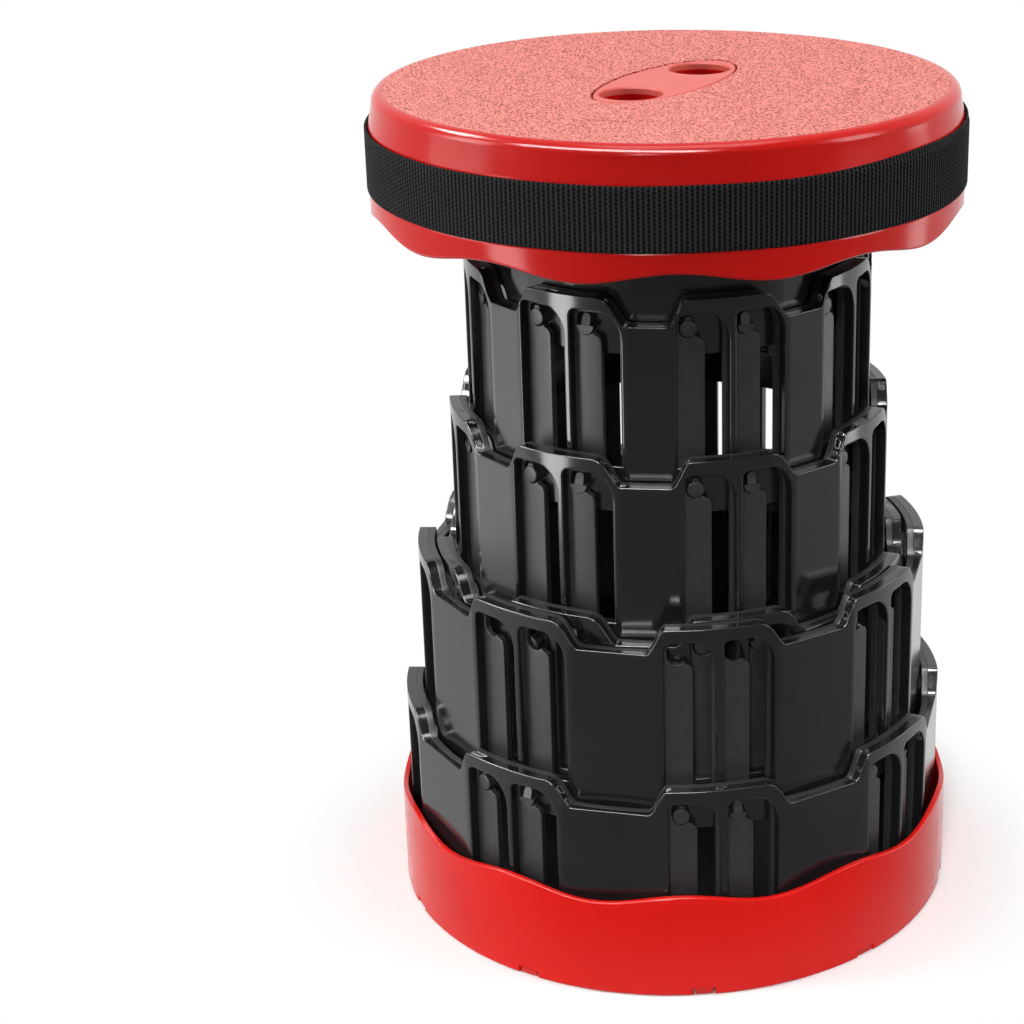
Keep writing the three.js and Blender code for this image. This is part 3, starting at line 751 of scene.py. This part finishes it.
def silhouette(radius, low):
    """One sector of a sleeve, a little wider than the sector, from low up to the battlement rim.

    The right shoulder runs down in a long curve that follows the round corner of the recess.
    """
    half = RIM_HALF + RIM_GROWTH * (radius - RIM_HALF_RADIUS)
    reach = radius * math.pi / SECTORS + SECTOR_OVERRUN
    shares = np.linspace(1, 0, 17)
    right = [(half - RIGHT_SHOULDER + (RIM_SLOPE + RIGHT_SHOULDER) * t, rim_drop(t ** RIGHT_SHOULDER_CURVE))
             for t in shares]
    left = [(LEFT_SHOULDER - half - (RIM_SLOPE + LEFT_SHOULDER) * t, rim_drop(t)) for t in reversed(shares)]
    return [(-reach, low), (reach, low), (reach, -RIM_DROP)] + right + left + [(-reach, -RIM_DROP)]


def recess(left, low):
    """The recess of a channel: a wide round corner at its right shoulder."""
    right = left + STRIP + SLOT + SLOT_LEDGE
    wide, tall = RECESS_CORNER
    corner = arc(right - wide, -RECESS_BELOW_RIM - tall, wide, tall, 0, 90, 14)
    near = RECESS_NEAR_CORNER
    near_corner = arc(left + near, -RECESS_BELOW_RIM - near, near, near, 90, 180, 6)
    return [(left, low), (right, low)] + corner + near_corner


def pocket(left, low):
    """The slot with its pocket, the cradle for a peg and the strip's round shoulder."""
    slot_left = left + STRIP
    right = slot_left + SLOT
    pocket_left = left + POCKET_INSET
    cradle = pocket_left + CRADLE_RADIUS
    wide, tall = POCKET_CORNER
    top_right = arc(right - wide, -POCKET_BELOW_RIM - tall, wide, tall, 0, 90, 10)
    near = POCKET_NEAR_CORNER
    top_left = arc(pocket_left + near, -POCKET_BELOW_RIM - near, near, near, 90, 180, 5)
    seat = arc(cradle, -PEG_BELOW_RIM, CRADLE_RADIUS, CRADLE_RADIUS, 180, 318, 12)
    wide, tall = SHOULDER_CORNER
    shoulder = arc(slot_left - wide, -SHOULDER_BELOW_RIM, wide, tall, 84, 0, 7)
    return [(right, low)] + top_right + top_left + seat[1:] + shoulder + [(slot_left, low)]


def panel_bend(radius):
    """The panels between two channel blocks are flat, a little inside the cylinder."""
    sector = 2 * math.pi / SECTORS
    first = PANEL_FROM / radius
    last = sector + PANEL_TO / radius
    middle = (first + last) / 2
    half = (last - first) / 2

    def bend(angle, out):
        away = np.where(angle < 0, angle + sector, angle) - middle
        inside = (np.abs(away) < half) & (out > -PANEL_DEPTH)
        sunk = radius * math.cos(half) / np.cos(np.clip(away, -half, half)) - radius
        return np.where(inside, sunk, 0.0)

    return bend


def peg(tip, root):
    """A round peg that points outwards."""
    profile = [
        (0, tip),
        (PEG_RADIUS - PEG_CHAMFER, tip),
        (PEG_RADIUS - PEG_CHAMFER_BOW, tip - PEG_CHAMFER_BOW),
        (PEG_RADIUS, tip - PEG_CHAMFER),
        (PEG_RADIUS, root),
    ]
    return revolved(profile, 24)


def boss(outline, tip, root, lean=0.0):
    """A straight boss that points outwards. Its tip leans back as it goes up."""
    count = len(outline)
    points = np.array([(x, y, root) for x, y in outline] + [(x, y, tip - lean * y) for x, y in outline])
    faces = [(i, (i + 1) % count, count + (i + 1) % count, count + i) for i in range(count)]
    return points, faces + [tuple(range(count, 2 * count))]


def pegs_of_block(tip, root):
    """The left peg is round with a small fin; the right one is cut to a half moon with a tongue above."""
    moon = arc(0, 0, PEG_RADIUS, PEG_RADIUS, 180, 360, 14)
    return [
        [peg(tip, root), boss(FIN, tip - FIN_STEP, root)],
        [boss(moon, tip, root), boss(TONGUE, tip - TONGUE_STEP, root, TONGUE_LEAN)],
    ]


def add_pegs(shape, k):
    """The pegs of a sleeve, which rest on the cradles of its outer neighbour."""
    outer = SLEEVE_RADII[k - 1]
    height = SLEEVE_TOPS[k] - (TRAVEL[k - 1] + PEG_BELOW_RIM)
    pegs = pegs_of_block(outer - SKIN - PEG_TIP_CLEARANCE, SLEEVE_RADII[k] - PEG_ROOT)
    for sector in range(SECTORS):
        for left, pieces in zip(LEFTS, pegs):
            centre = left + POCKET_INSET + CRADLE_RADIUS
            azimuth = math.radians(SECTOR_AZIMUTHS[k - 1] + SECTOR_DEGREES * sector) + centre / outer
            for points, faces in pieces:
                shape.add(facing(points, azimuth, height), faces, 1)


def sleeve(k):
    """A ring of eight sectors, each of three plates: the skin, the recess wall and the slotted strips."""
    radius = SLEEVE_RADII[k]
    low = PEG_RADIUS + ABOVE_PEG - PEG_BELOW_RIM - TRAVEL[min(k, len(TRAVEL) - 1)]
    band = low - STRIP_FOOT
    edge = radius * math.pi / SECTORS
    open_front = k != PLAIN_FRONT
    recesses = [recess(left, low) for left in LEFTS] if open_front else []
    pockets = [pocket(left, band + SLOT_FOOT) for left in LEFTS] if open_front else []
    pocket_round = POCKET_ROUND if open_front else 0
    front, middle, rear = bmesh.new(), bmesh.new(), bmesh.new()
    outline = silhouette(radius, -SLEEVE_HEIGHT)
    plate(front, [outline] + recesses, -SKIN, 0, RIM_ROUND, 4, hole_share=RECESS_ROUND_SHARE)
    outline = silhouette(radius, band)
    plate(middle, [outline] + recesses, -RECESS_DEPTH, -SKIN)
    plate(rear, [outline] + pockets, -SLEEVE_WALL, -RECESS_DEPTH, pocket_round, 2, POCKET_ROUND)
    shape = Shape()
    for mesh in (front, middle, rear):
        bend = panel_bend(radius) if mesh is front else None
        mark = 1 if mesh is rear else 0
        extra = (PANEL_FROM, PANEL_TO) if mesh is front else ()
        slice_up(mesh, -edge, edge, radius * math.radians(SLEEVE_COLUMN_DEGREES), extra)
        points, faces = taken_from(mesh)
        for sector in range(SECTORS):
            azimuth = math.radians(SECTOR_AZIMUTHS[k] + SECTOR_DEGREES * sector)
            shape.add(wrapped(points, radius, azimuth, SLEEVE_TOPS[k], bend), faces, mark)
    if k:
        add_pegs(shape, k)
    shape.made(f"sleeve_{k + 1}_detailed", [BLACK, MATTE], [f"sleeve_{k + 1}"], BODIES[k], "black_plastic")


for k in range(SLEEVES):
    sleeve(k)


# Base

def wave(turn):
    return -WAVE_HEIGHT * np.cos(WAVES * (np.asarray(turn) - WAVE_LOW))


def notched_circle(radius, inner, half):
    """A circle with notches for the foot pads."""
    loop = []
    side = half / radius
    for middle in PAD_TURNS:
        cx, cy = at(inner, middle)
        across = (half * math.cos(middle), half * math.sin(middle))
        loop += [at(radius, middle - side), (cx - across[0], cy - across[1])]
        loop += [(cx + across[0], cy + across[1]), at(radius, middle + side)]
        following = middle + 2 * math.pi / PADS
        loop += [at(radius, t) for t in np.linspace(middle + side, following - side, 22)[1:-1]]
    return loop


def base_cup():
    shape = Shape()
    half = BASE_RADIUS * math.pi / PADS
    outer = half + SHEET_OVERRUN
    foot = [(-outer, 0.0), (-NOTCH_HALF, 0.0), (-NOTCH_HALF, NOTCH_HEIGHT)]
    foot += [(NOTCH_HALF, NOTCH_HEIGHT), (NOTCH_HALF, 0.0), (outer, 0.0)]
    for middle in PAD_TURNS:
        places = np.linspace(outer, -outer, 45)
        rim = [(s, BASE_RIM + float(wave(middle + s / BASE_RADIUS))) for s in places]
        work = bmesh.new()
        plate(work, [foot + rim], -BASE_WALL, 0, BASE_RIM_ROUND, 4, BASE_FOOT_ROUND)
        slice_up(work, -half, half, BASE_RADIUS * math.radians(BASE_COLUMN_DEGREES))
        points, faces = taken_from(work)
        shape.add(wrapped(points, BASE_RADIUS, middle), faces)
    head = SCREW_HEAD_RADIUS + SCREW_CLEARANCE
    heads = [circle(head, 24, *at(BASE_SCREW_RADIUS, turn)) for turn in BASE_SCREW_TURNS]
    notched = notched_circle(BASE_FLOOR_RADIUS, PAD_INNER - PAD_GAP, NOTCH_HALF)
    head_room = SCREW_HEAD + SEAT_GAP
    shape.add_plate([notched] + heads, 0, head_room)
    shape.add_plate([notched], head_room, NOTCH_HEIGHT)
    # Painted shade: the floor inside the cup takes the black matte plastic instead of the cup's red, since
    # the inside of the cup lies in shade.
    shape.add_plate([circle(BASE_FLOOR_RADIUS, 220)], NOTCH_HEIGHT, BASE_FLOOR, mark=1)
    shape.made("base_cup_detailed", [GLOSS, MATTE], ["base_cup"], "base", "red_gloss")


def foot_pad(name, turn):
    half = PAD_WIDTH / 2
    outline = [(-half, PAD_INNER), (half, PAD_INNER), (half, PAD_OUTER), (-half, PAD_OUTER)]
    work = bmesh.new()
    plate(work, [outline], 0, PAD_HEIGHT, PAD_ROUND, 3, PAD_FOOT_ROUND)
    points, faces = taken_from(work)
    shape = Shape()
    shape.add(facing(points[:, [0, 2, 1]], turn), faces)
    shape.made(f"{name}_detailed", [RUBBER], [name], "base", "pad_rubber")


base_cup()
for i, turn in enumerate(PAD_TURNS):
    foot_pad(f"foot_pad_{i + 1}", turn)


# Screws

def cross(half_width, reach):
    loop = []
    for i in range(4):
        turn = i * math.pi / 2
        for x, y in ((reach, -half_width), (reach, half_width), (half_width, half_width)):
            loop.append((x * math.cos(turn) - y * math.sin(turn), x * math.sin(turn) + y * math.cos(turn)))
    return loop


def screw(name, low, turn, radius, body):
    """A pan head below a shank, with a cross recess."""
    shape = Shape()
    head = circle(SCREW_HEAD_RADIUS, 32)
    shape.add_plate([head, cross(*SCREW_CROSS)], 0, SCREW_CROSS_DEPTH, back_rounding=SCREW_HEAD_ROUND)
    shape.add_plate([head], SCREW_CROSS_DEPTH, SCREW_HEAD)
    steps = int((SCREW_LENGTH - THREAD_START) / THREAD_STEP)
    threads = [(THREAD_CREST if i % 2 else THREAD_ROOT, THREAD_START + THREAD_STEP * i) for i in range(steps)]
    shape.add(*revolved(threads + [(0.01, SCREW_LENGTH)], 20))
    for part in shape.points:
        part += np.array([*at(radius, turn), low])
    shape.made(f"{name}_detailed", [STEEL], [name], body, "bright_steel", 30)


for i, turn in enumerate(BASE_SCREW_TURNS):
    screw(f"base_screw_{i + 1}", 0, turn, BASE_SCREW_RADIUS, "base")
for i, turn in enumerate(SEAT_SCREW_TURNS):
    screw(f"seat_screw_{i + 1}", SEAT_SCREW_LOW, turn, SEAT_SCREW_RADIUS, "seat")


# Seat

def along_grip(x, y):
    """A place on the grip plate, from one along and across it."""
    cosine, sine = math.cos(GRIP_ANGLE), math.sin(GRIP_ANGLE)
    return x * cosine - y * sine, x * sine + y * cosine


def ellipse(long_half, short_half, count):
    turns = [2 * math.pi * i / count for i in range(count)]
    return [along_grip(long_half * math.cos(t), short_half * math.sin(t)) for t in turns]


FINGER_PLACES = [along_grip(side * FINGER_REACH, 0) for side in (-1, 1)]


def finger_circles(radius, count):
    return [circle(radius, count, *place) for place in FINGER_PLACES]


def skirt_lift(height, turn):
    """The wave of the lower edge, which fades out on the way up."""
    fade = WAVE_FADE - SKIRT_LOW - SKIRT_ROUND
    return wave(turn) * min(max((WAVE_FADE - height) / fade, 0), 1)


def lid_profile():
    """From the edge of the top down the outside, round the lower edge and up the inside."""
    profile = [(LID_TOP_RADIUS, SEAT_TOP)]
    for t in np.radians(LID_ROUND_DEGREES):
        out = LID_TOP_RADIUS + LID_ROUND * math.sin(t)
        profile.append((out, SEAT_TOP - LID_ROUND + LID_ROUND * math.cos(t)))
    profile += [LID_SHOULDER, LID_SHOULDER_FOOT] + STRAP_BED + [(SKIRT_RADIUS, SKIRT_EVEN)]
    for t in np.radians(SKIRT_ROUND_DEGREES):
        out = SKIRT_INNER + SKIRT_ROUND + SKIRT_ROUND * math.cos(t)
        profile.append((out, SKIRT_LOW + SKIRT_ROUND + SKIRT_ROUND * math.sin(t)))
    profile += [(SKIRT_INNER, SKIRT_EVEN), (SKIRT_INNER, SKIRT_INNER_TOP)]
    profile += [(SKIRT_INNER, SEAT_UNDER - SEAT_INNER_DROP), (SKIRT_INNER - SEAT_INNER_INSET, SEAT_UNDER)]
    return profile + [(LID_TOP_RADIUS, SEAT_UNDER)]


def seat_lid():
    shape = Shape()
    count = 300
    rim = circle(LID_TOP_RADIUS, count)
    recess_floor = SEAT_TOP - GRIP_THICKNESS - SEAT_GAP
    grip_recess = ellipse(GRIP_LONG + GRIP_GAP, GRIP_SHORT + GRIP_GAP, 96)
    shape.add_plate([rim, grip_recess], recess_floor, SEAT_TOP, mark=1)
    tube_holes = finger_circles(FINGER_TUBE_RADIUS + SEAT_GAP, 48)
    shape.add_plate([rim] + tube_holes, SEAT_UNDER, recess_floor, mark=2)
    points, faces = revolved(lid_profile(), count * 2, skirt_lift)
    shape.add(points, [face[::-1] for face in faces])
    shape.made("seat_lid_detailed", [GLOSS, GRAINED, SATIN], ["seat_lid"], "seat", "red_grained")


def grip_insert():
    shape = Shape()
    plate_low = SEAT_TOP - GRIP_THICKNESS
    outline = ellipse(GRIP_LONG, GRIP_SHORT, 120)
    holes = finger_circles(FINGER_RADIUS, 64)
    shape.add_plate([outline] + holes, plate_low, SEAT_TOP - GRIP_SUNK, rounding=GRIP_ROUND, steps=4)
    tube_low = SEAT_TOP - FINGER_TUBE_DEPTH
    across, up = FINGER_TUBE_CHAMFER
    tube = [(FINGER_RADIUS, plate_low), (FINGER_RADIUS - FINGER_TUBE_TAPER, tube_low + up)]
    tube += [(FINGER_RADIUS + across, tube_low), (FINGER_TUBE_RADIUS - across, tube_low)]
    tube += [(FINGER_TUBE_RADIUS, plate_low)]
    for x, y in FINGER_PLACES:
        points, faces = revolved(tube, 64)
        shape.add(points + np.array([x, y, 0]), faces, 1)
    shape.made("grip_insert_detailed", [SATIN, GLOSS], ["grip_insert"], "seat", "red_grained")


seat_lid()
grip_insert()


# Strap, handle and rivets

def ring_row(reach, turn, height):
    return np.stack([reach * np.sin(turn), -reach * np.cos(turn), height], 1)


def first_turn(shape):
    """The strap's ring, which sways a little up and down."""
    columns = RIBS * RIB_POINTS
    turn = np.arange(columns) * 2 * math.pi / columns
    rib = STRAP_RIB * np.cos(turn * RIBS)
    sway = sum(height * np.sin(turn * waves + phase) for height, waves, phase in STRAP_SWAYS)
    edge_share = STRAP_EDGE_RIB_SHARE
    heights = np.linspace(STRAP_LOW + STRAP_FACE_INSET, STRAP_TOP - STRAP_FACE_INSET, STRAP_FACE_ROWS)
    rows = [(STRAP_BACK_RADIUS, STRAP_LOW + STRAP_BACK_INSET, edge_share)]
    rows += [(STRAP_EDGE_RADIUS, STRAP_LOW, edge_share)]
    rows += [(STRAP_FACE_RADIUS, height, 1.0) for height in heights]
    rows += [(STRAP_EDGE_RADIUS, STRAP_TOP, edge_share)]
    rows += [(STRAP_BACK_RADIUS, STRAP_TOP - STRAP_BACK_INSET, edge_share)]
    points = [ring_row(radius + rib * share, turn, height + sway) for radius, height, share in rows]
    shape.add(np.concatenate(points), grid(len(rows), columns, True))


def second_turn(shape):
    """The turn below it, whose edge peeps out above on one side."""
    columns = RIBS * RIB_POINTS
    first, last = (math.radians(degrees) for degrees in SECOND_TURN_DEGREES)
    count = int((last - first) / (2 * math.pi) * columns)
    turn = np.arange(count) * 2 * math.pi / columns + first
    share = np.clip(np.minimum(turn - first, last - turn) / math.radians(SECOND_TURN_FADE_DEGREES), 0, 1)
    sway, waves = SECOND_TURN_SWAY
    rise = SECOND_TURN_RISE * share * share * (3 - 2 * share) + sway * np.sin(turn * waves)
    front = SECOND_TURN_FRONT + SECOND_TURN_RIB * np.cos(turn * RIBS)
    back = SECOND_TURN_BACK
    inward, down = SECOND_TURN_BEVEL
    section = [(front, -SECOND_TURN_DEPTH, 0), (front, -down, 1), (SECOND_TURN_FRONT - inward, 0, 1)]
    section += [(back + inward, 0, 1), (back, -down, 1), (back, -SECOND_TURN_DEPTH, 0)]
    edge = STRAP_TOP - SECOND_TURN_SUNK
    rows = [ring_row(reach, turn, edge + up + rise * lifted) for reach, up, lifted in section]
    shape.add(np.concatenate(rows), grid(len(rows), count, False))


def strap():
    """Ribbed webbing drawn tight round the seat."""
    shape = Shape()
    first_turn(shape)
    second_turn(shape)
    shape.made("seat_strap_webbing", [STRAP_CLOTH], ["seat_strap"], "seat", "black_webbing", 60, False)


def ribbon(shape, path, normals, width, thickness):
    """A band of ribbed webbing along a level path, with round edges."""
    steps = np.linalg.norm(np.diff(path, axis=0), axis=1)
    run = np.concatenate([[0], np.cumsum(steps)])
    count = int(run[-1] / RIB_PITCH * RIB_POINTS)
    places = np.linspace(0, run[-1], count)
    x, y = (np.interp(places, run, path[:, axis]) for axis in (0, 1))
    nx, ny = (np.interp(places, run, normals[:, axis]) for axis in (0, 1))
    rib = HANDLE_RIB * np.cos(places * 2 * math.pi / RIB_PITCH)
    half = width / 2
    edge = half - HANDLE_EDGE
    near, far = thickness * 0.25, thickness * 0.75
    section = [(0, edge, 1), (near, half, 0), (far, half, 0), (thickness, edge, 1)]
    section += [(thickness, half * s, 1) for s in (0.66, 0.33, 0, -0.33, -0.66)]
    section += [(thickness, -edge, 1), (far, -half, 0), (near, -half, 0), (0, -edge, 1)]
    section += [(0, half * s, 1) for s in (-0.5, 0, 0.5)]
    rows = []
    for out, up, share in section:
        reach = out + rib * share * (1 if out > thickness / 2 else -1)
        rows.append(np.stack([x + nx * reach, y + ny * reach, np.full(count, STRAP_MIDDLE + up)], 1))
    total = len(section)
    faces = []
    for r in range(total):
        s = (r + 1) % total
        for i in range(count - 1):
            faces.append([r * count + i, s * count + i, s * count + i + 1, r * count + i + 1])
    faces.append([r * count for r in range(total)])
    faces.append([r * count + count - 1 for r in reversed(range(total))])
    shape.add(np.concatenate(rows), faces)


def loop_path(inner):
    """The handle's inner face: two tabs on the strap and a free loop between them."""
    turns = np.radians(np.linspace(-HANDLE_DEGREES, HANDLE_DEGREES, HANDLE_STEPS))
    share = np.minimum(np.abs(turns) / math.radians(HANDLE_FREE_DEGREES), 1)
    reach = inner + HANDLE_BULGE * np.cos(share * math.pi / 2) ** 2
    azimuth = math.pi + turns
    path = np.stack([reach * np.sin(azimuth), -reach * np.cos(azimuth)], 1)
    along = np.gradient(path, axis=0)
    along /= np.linalg.norm(along, axis=1)[:, None]
    normals = np.stack([along[:, 1], -along[:, 0]], 1)
    normals *= np.sign(np.sum(normals * path, axis=1))[:, None]
    return path, normals


def handle():
    """The loop at the back, with a second layer folded over each of its tabs."""
    shape = Shape()
    path, normals = loop_path(HANDLE_INNER)
    ribbon(shape, path, normals, HANDLE_WIDTH, HANDLE_THICKNESS)
    degrees = np.linspace(-HANDLE_DEGREES, HANDLE_DEGREES, HANDLE_STEPS)
    for side in (-1, 1):
        tab = degrees * side > TAB_FROM_DEGREES
        ribbon(shape, path[tab] + normals[tab] * TAB_LIFT, normals[tab], TAB_WIDTH, TAB_THICKNESS)
    shape.made("carry_handle_webbing", [HANDLE_CLOTH], ["carry_handle"], "seat", "black_webbing", 60, False)


def rivet(name, turn):
    """A domed head outside the tab, with a shank in through the skirt."""
    profile = [(radius, RIVET_SEAT + up) for radius, up in RIVET_DOME]
    profile += [(RIVET_EDGE_RADIUS, RIVET_SEAT), (RIVET_SHANK, RIVET_SEAT), (RIVET_SHANK, RIVET_ROOT)]
    points, faces = revolved(profile, 40)
    shape = Shape()
    shape.add(facing(points, turn, STRAP_MIDDLE), faces)
    shape.made(f"{name}_domed", [STEEL], [name], "seat", "bright_steel", 30)


strap()
handle()
for i, side in enumerate((-1, 1)):
    rivet(f"handle_rivet_{i + 1}", math.pi + side * math.radians(RIVET_DEGREES))


# Floor, light and camera

def seen_by_eye(tree, plain, place, share=None):
    """White to the camera and in reflections, but dimmer in those of the front; plain for all other light."""
    light = tree.nodes.new("ShaderNodeLightPath")
    across, along, _ = split(tree, place)
    off_front = math_node(tree, "SUBTRACT", turn_of(tree, across, along), DIM_TURN)
    side = smooth_step(tree, math_node(tree, "ABSOLUTE", off_front), *DIM_SPAN, DIM_LEVEL, 1.0)
    strength = math_node(tree, "MAXIMUM", light.outputs["Is Camera Ray"], side)
    shown = node(tree, "ShaderNodeEmission", Color=(1, 1, 1, 1))
    tree.links.new(strength, shown.inputs["Strength"])
    eye = math_node(tree, "MAXIMUM", light.outputs["Is Camera Ray"], light.outputs["Is Glossy Ray"])
    eye = math_node(tree, "MAXIMUM", eye, light.outputs["Is Transmission Ray"])
    if share is not None:
        eye = math_node(tree, "MULTIPLY", eye, share)
    mix = tree.nodes.new("ShaderNodeMixShader")
    tree.links.new(eye, mix.inputs[0])
    tree.links.new(plain, mix.inputs[1])
    tree.links.new(shown.outputs[0], mix.inputs[2])
    return mix.outputs[0]


def floor_paint():
    """Pale near the stool, white further out, and clear from below and under the base."""
    paint = bpy.data.materials.new("floor")
    paint.use_nodes = True
    tree = paint.node_tree
    shader = tree.nodes["Principled BSDF"]
    shader.inputs["Roughness"].default_value = 0.9
    shader.inputs["Specular IOR Level"].default_value = 0.1
    light = tree.nodes.new("ShaderNodeLightPath")
    tone = spread(tree, light.outputs["Is Diffuse Ray"], 0.92, 0.26)
    tree.links.new(tone, shader.inputs["Base Color"])
    away = node(tree, "ShaderNodeVectorMath", operation="LENGTH")
    tree.links.new(place_of(tree), away.inputs[0])
    distance = away.outputs["Value"]
    far = smooth_step(tree, distance, *FLOOR_FADE, 0.0, 1.0)
    mixed = seen_by_eye(tree, shader.outputs[0], place_of(tree), far)
    hidden = math_node(tree, "LESS_THAN", distance, FLOOR_CLEAR)
    back = tree.nodes.new("ShaderNodeNewGeometry").outputs["Backfacing"]
    clear = tree.nodes.new("ShaderNodeMixShader")
    tree.links.new(math_node(tree, "MAXIMUM", back, hidden), clear.inputs[0])
    tree.links.new(mixed, clear.inputs[1])
    tree.links.new(tree.nodes.new("ShaderNodeBsdfTransparent").outputs[0], clear.inputs[2])
    tree.links.new(clear.outputs[0], tree.nodes["Material Output"].inputs["Surface"])
    return paint


def stage_floor():
    data = bpy.data.meshes.new("floor")
    signs = ((-1, -1), (1, -1), (1, 1), (-1, 1))
    data.from_pydata([(x * FLOOR_REACH, y * FLOOR_REACH, FLOOR_LEVEL) for x, y in signs], [], [(0, 1, 2, 3)])
    data.materials.append(floor_paint())
    made = bpy.data.objects.new("floor", data)
    bpy.context.scene.collection.objects.link(made)


def studio():
    """A world that lights the object weakly and shows white."""
    world = bpy.data.worlds.new("studio")
    world.use_nodes = True
    tree = world.node_tree
    back = tree.nodes["Background"]
    back.inputs["Color"].default_value = (1, 1, 1, 1)
    back.inputs["Strength"].default_value = 0.12
    direction = tree.nodes.new("ShaderNodeTexCoord").outputs["Generated"]
    seen = seen_by_eye(tree, back.outputs[0], direction)
    tree.links.new(seen, tree.nodes["World Output"].inputs["Surface"])
    bpy.context.scene.world = world
    bpy.context.scene.view_settings.view_transform = "Standard"


def aimed(name, data, place, target):
    """Sets a lamp in place, with its light towards a target."""
    made = bpy.data.objects.new(name, data)
    bpy.context.scene.collection.objects.link(made)
    made.location = place
    made.rotation_mode = "QUATERNION"
    made.rotation_quaternion = (Vector(target) - Vector(place)).to_track_quat("-Z", "Y")
    return made


def panel(name, power, place, target, width, height):
    data = bpy.data.lights.new(name, "AREA")
    data.shape = "RECTANGLE"
    data.size = width
    data.size_y = height
    data.energy = power
    made = aimed(name, data, place, target)
    made.visible_camera = False
    return made


def glint(name, power, place, target, width, height):
    """A panel that shows in reflections only."""
    made = panel(name, power, place, target, width, height)
    made.visible_diffuse = False


def spot(name, power, place, target, cone_degrees, softness):
    data = bpy.data.lights.new(name, "SPOT")
    data.energy = power
    data.spot_size = math.radians(cone_degrees)
    data.spot_blend = 1.0
    data.shadow_soft_size = softness
    aimed(name, data, place, target)


stage_floor()
studio()

panel("key_above", power=17.5, place=(0.1, 0.0, 1.9), target=(0, 0, 0.3), width=1.0, height=1.0)
panel("strip_left", power=10, place=(-1.4, -0.25, 0.85), target=(0, 0, 0.3), width=0.45, height=0.7)
panel("low_left", power=1.2, place=(-0.66, -0.14, 0.4), target=(0, 0, 0.2), width=0.34, height=0.4)
panel("strip_right", power=10, place=(1.35, -0.35, 0.85), target=(0, 0, 0.3), width=0.45, height=0.7)
glint("rim_glint", power=130, place=(-0.45, -0.9, 1.6), target=(0, 0, 0.25), width=1.8, height=0.45)
glint("edge_left", power=1.8, place=(-0.5, -0.33, 0.17), target=(0, 0, 0.17), width=0.14, height=0.34)
glint("panel_left", power=0.3, place=(-0.5, 0.05, 0.07), target=(0, 0, 0.17), width=0.45, height=0.18)
glint("streak_left", power=25, place=(-1.1, 0.45, 1.5), target=(0, 0, 0.33), width=0.6, height=0.35)
glint("edge_right", power=0.5, place=(0.6, 0.1, 0.17), target=(0, 0, 0.17), width=0.12, height=0.34)
spot("low_fill", power=215, place=(-0.25, -1.6, 0.75), target=(0, -0.1, 0.0), cone_degrees=15, softness=0.25)

view = bpy.data.cameras.new("camera")
view.lens = 83.2
view.sensor_width = 36
view.shift_x = -0.141
view.shift_y = -0.022
camera = bpy.data.objects.new("camera", view)
bpy.context.scene.collection.objects.link(camera)
camera.location = (-0.0016, -0.9737, 0.5542)
camera.rotation_mode = "XYZ"
camera.rotation_euler = (math.radians(90 - 21.03), math.radians(0.7), 0)
bpy.context.scene.camera = camera
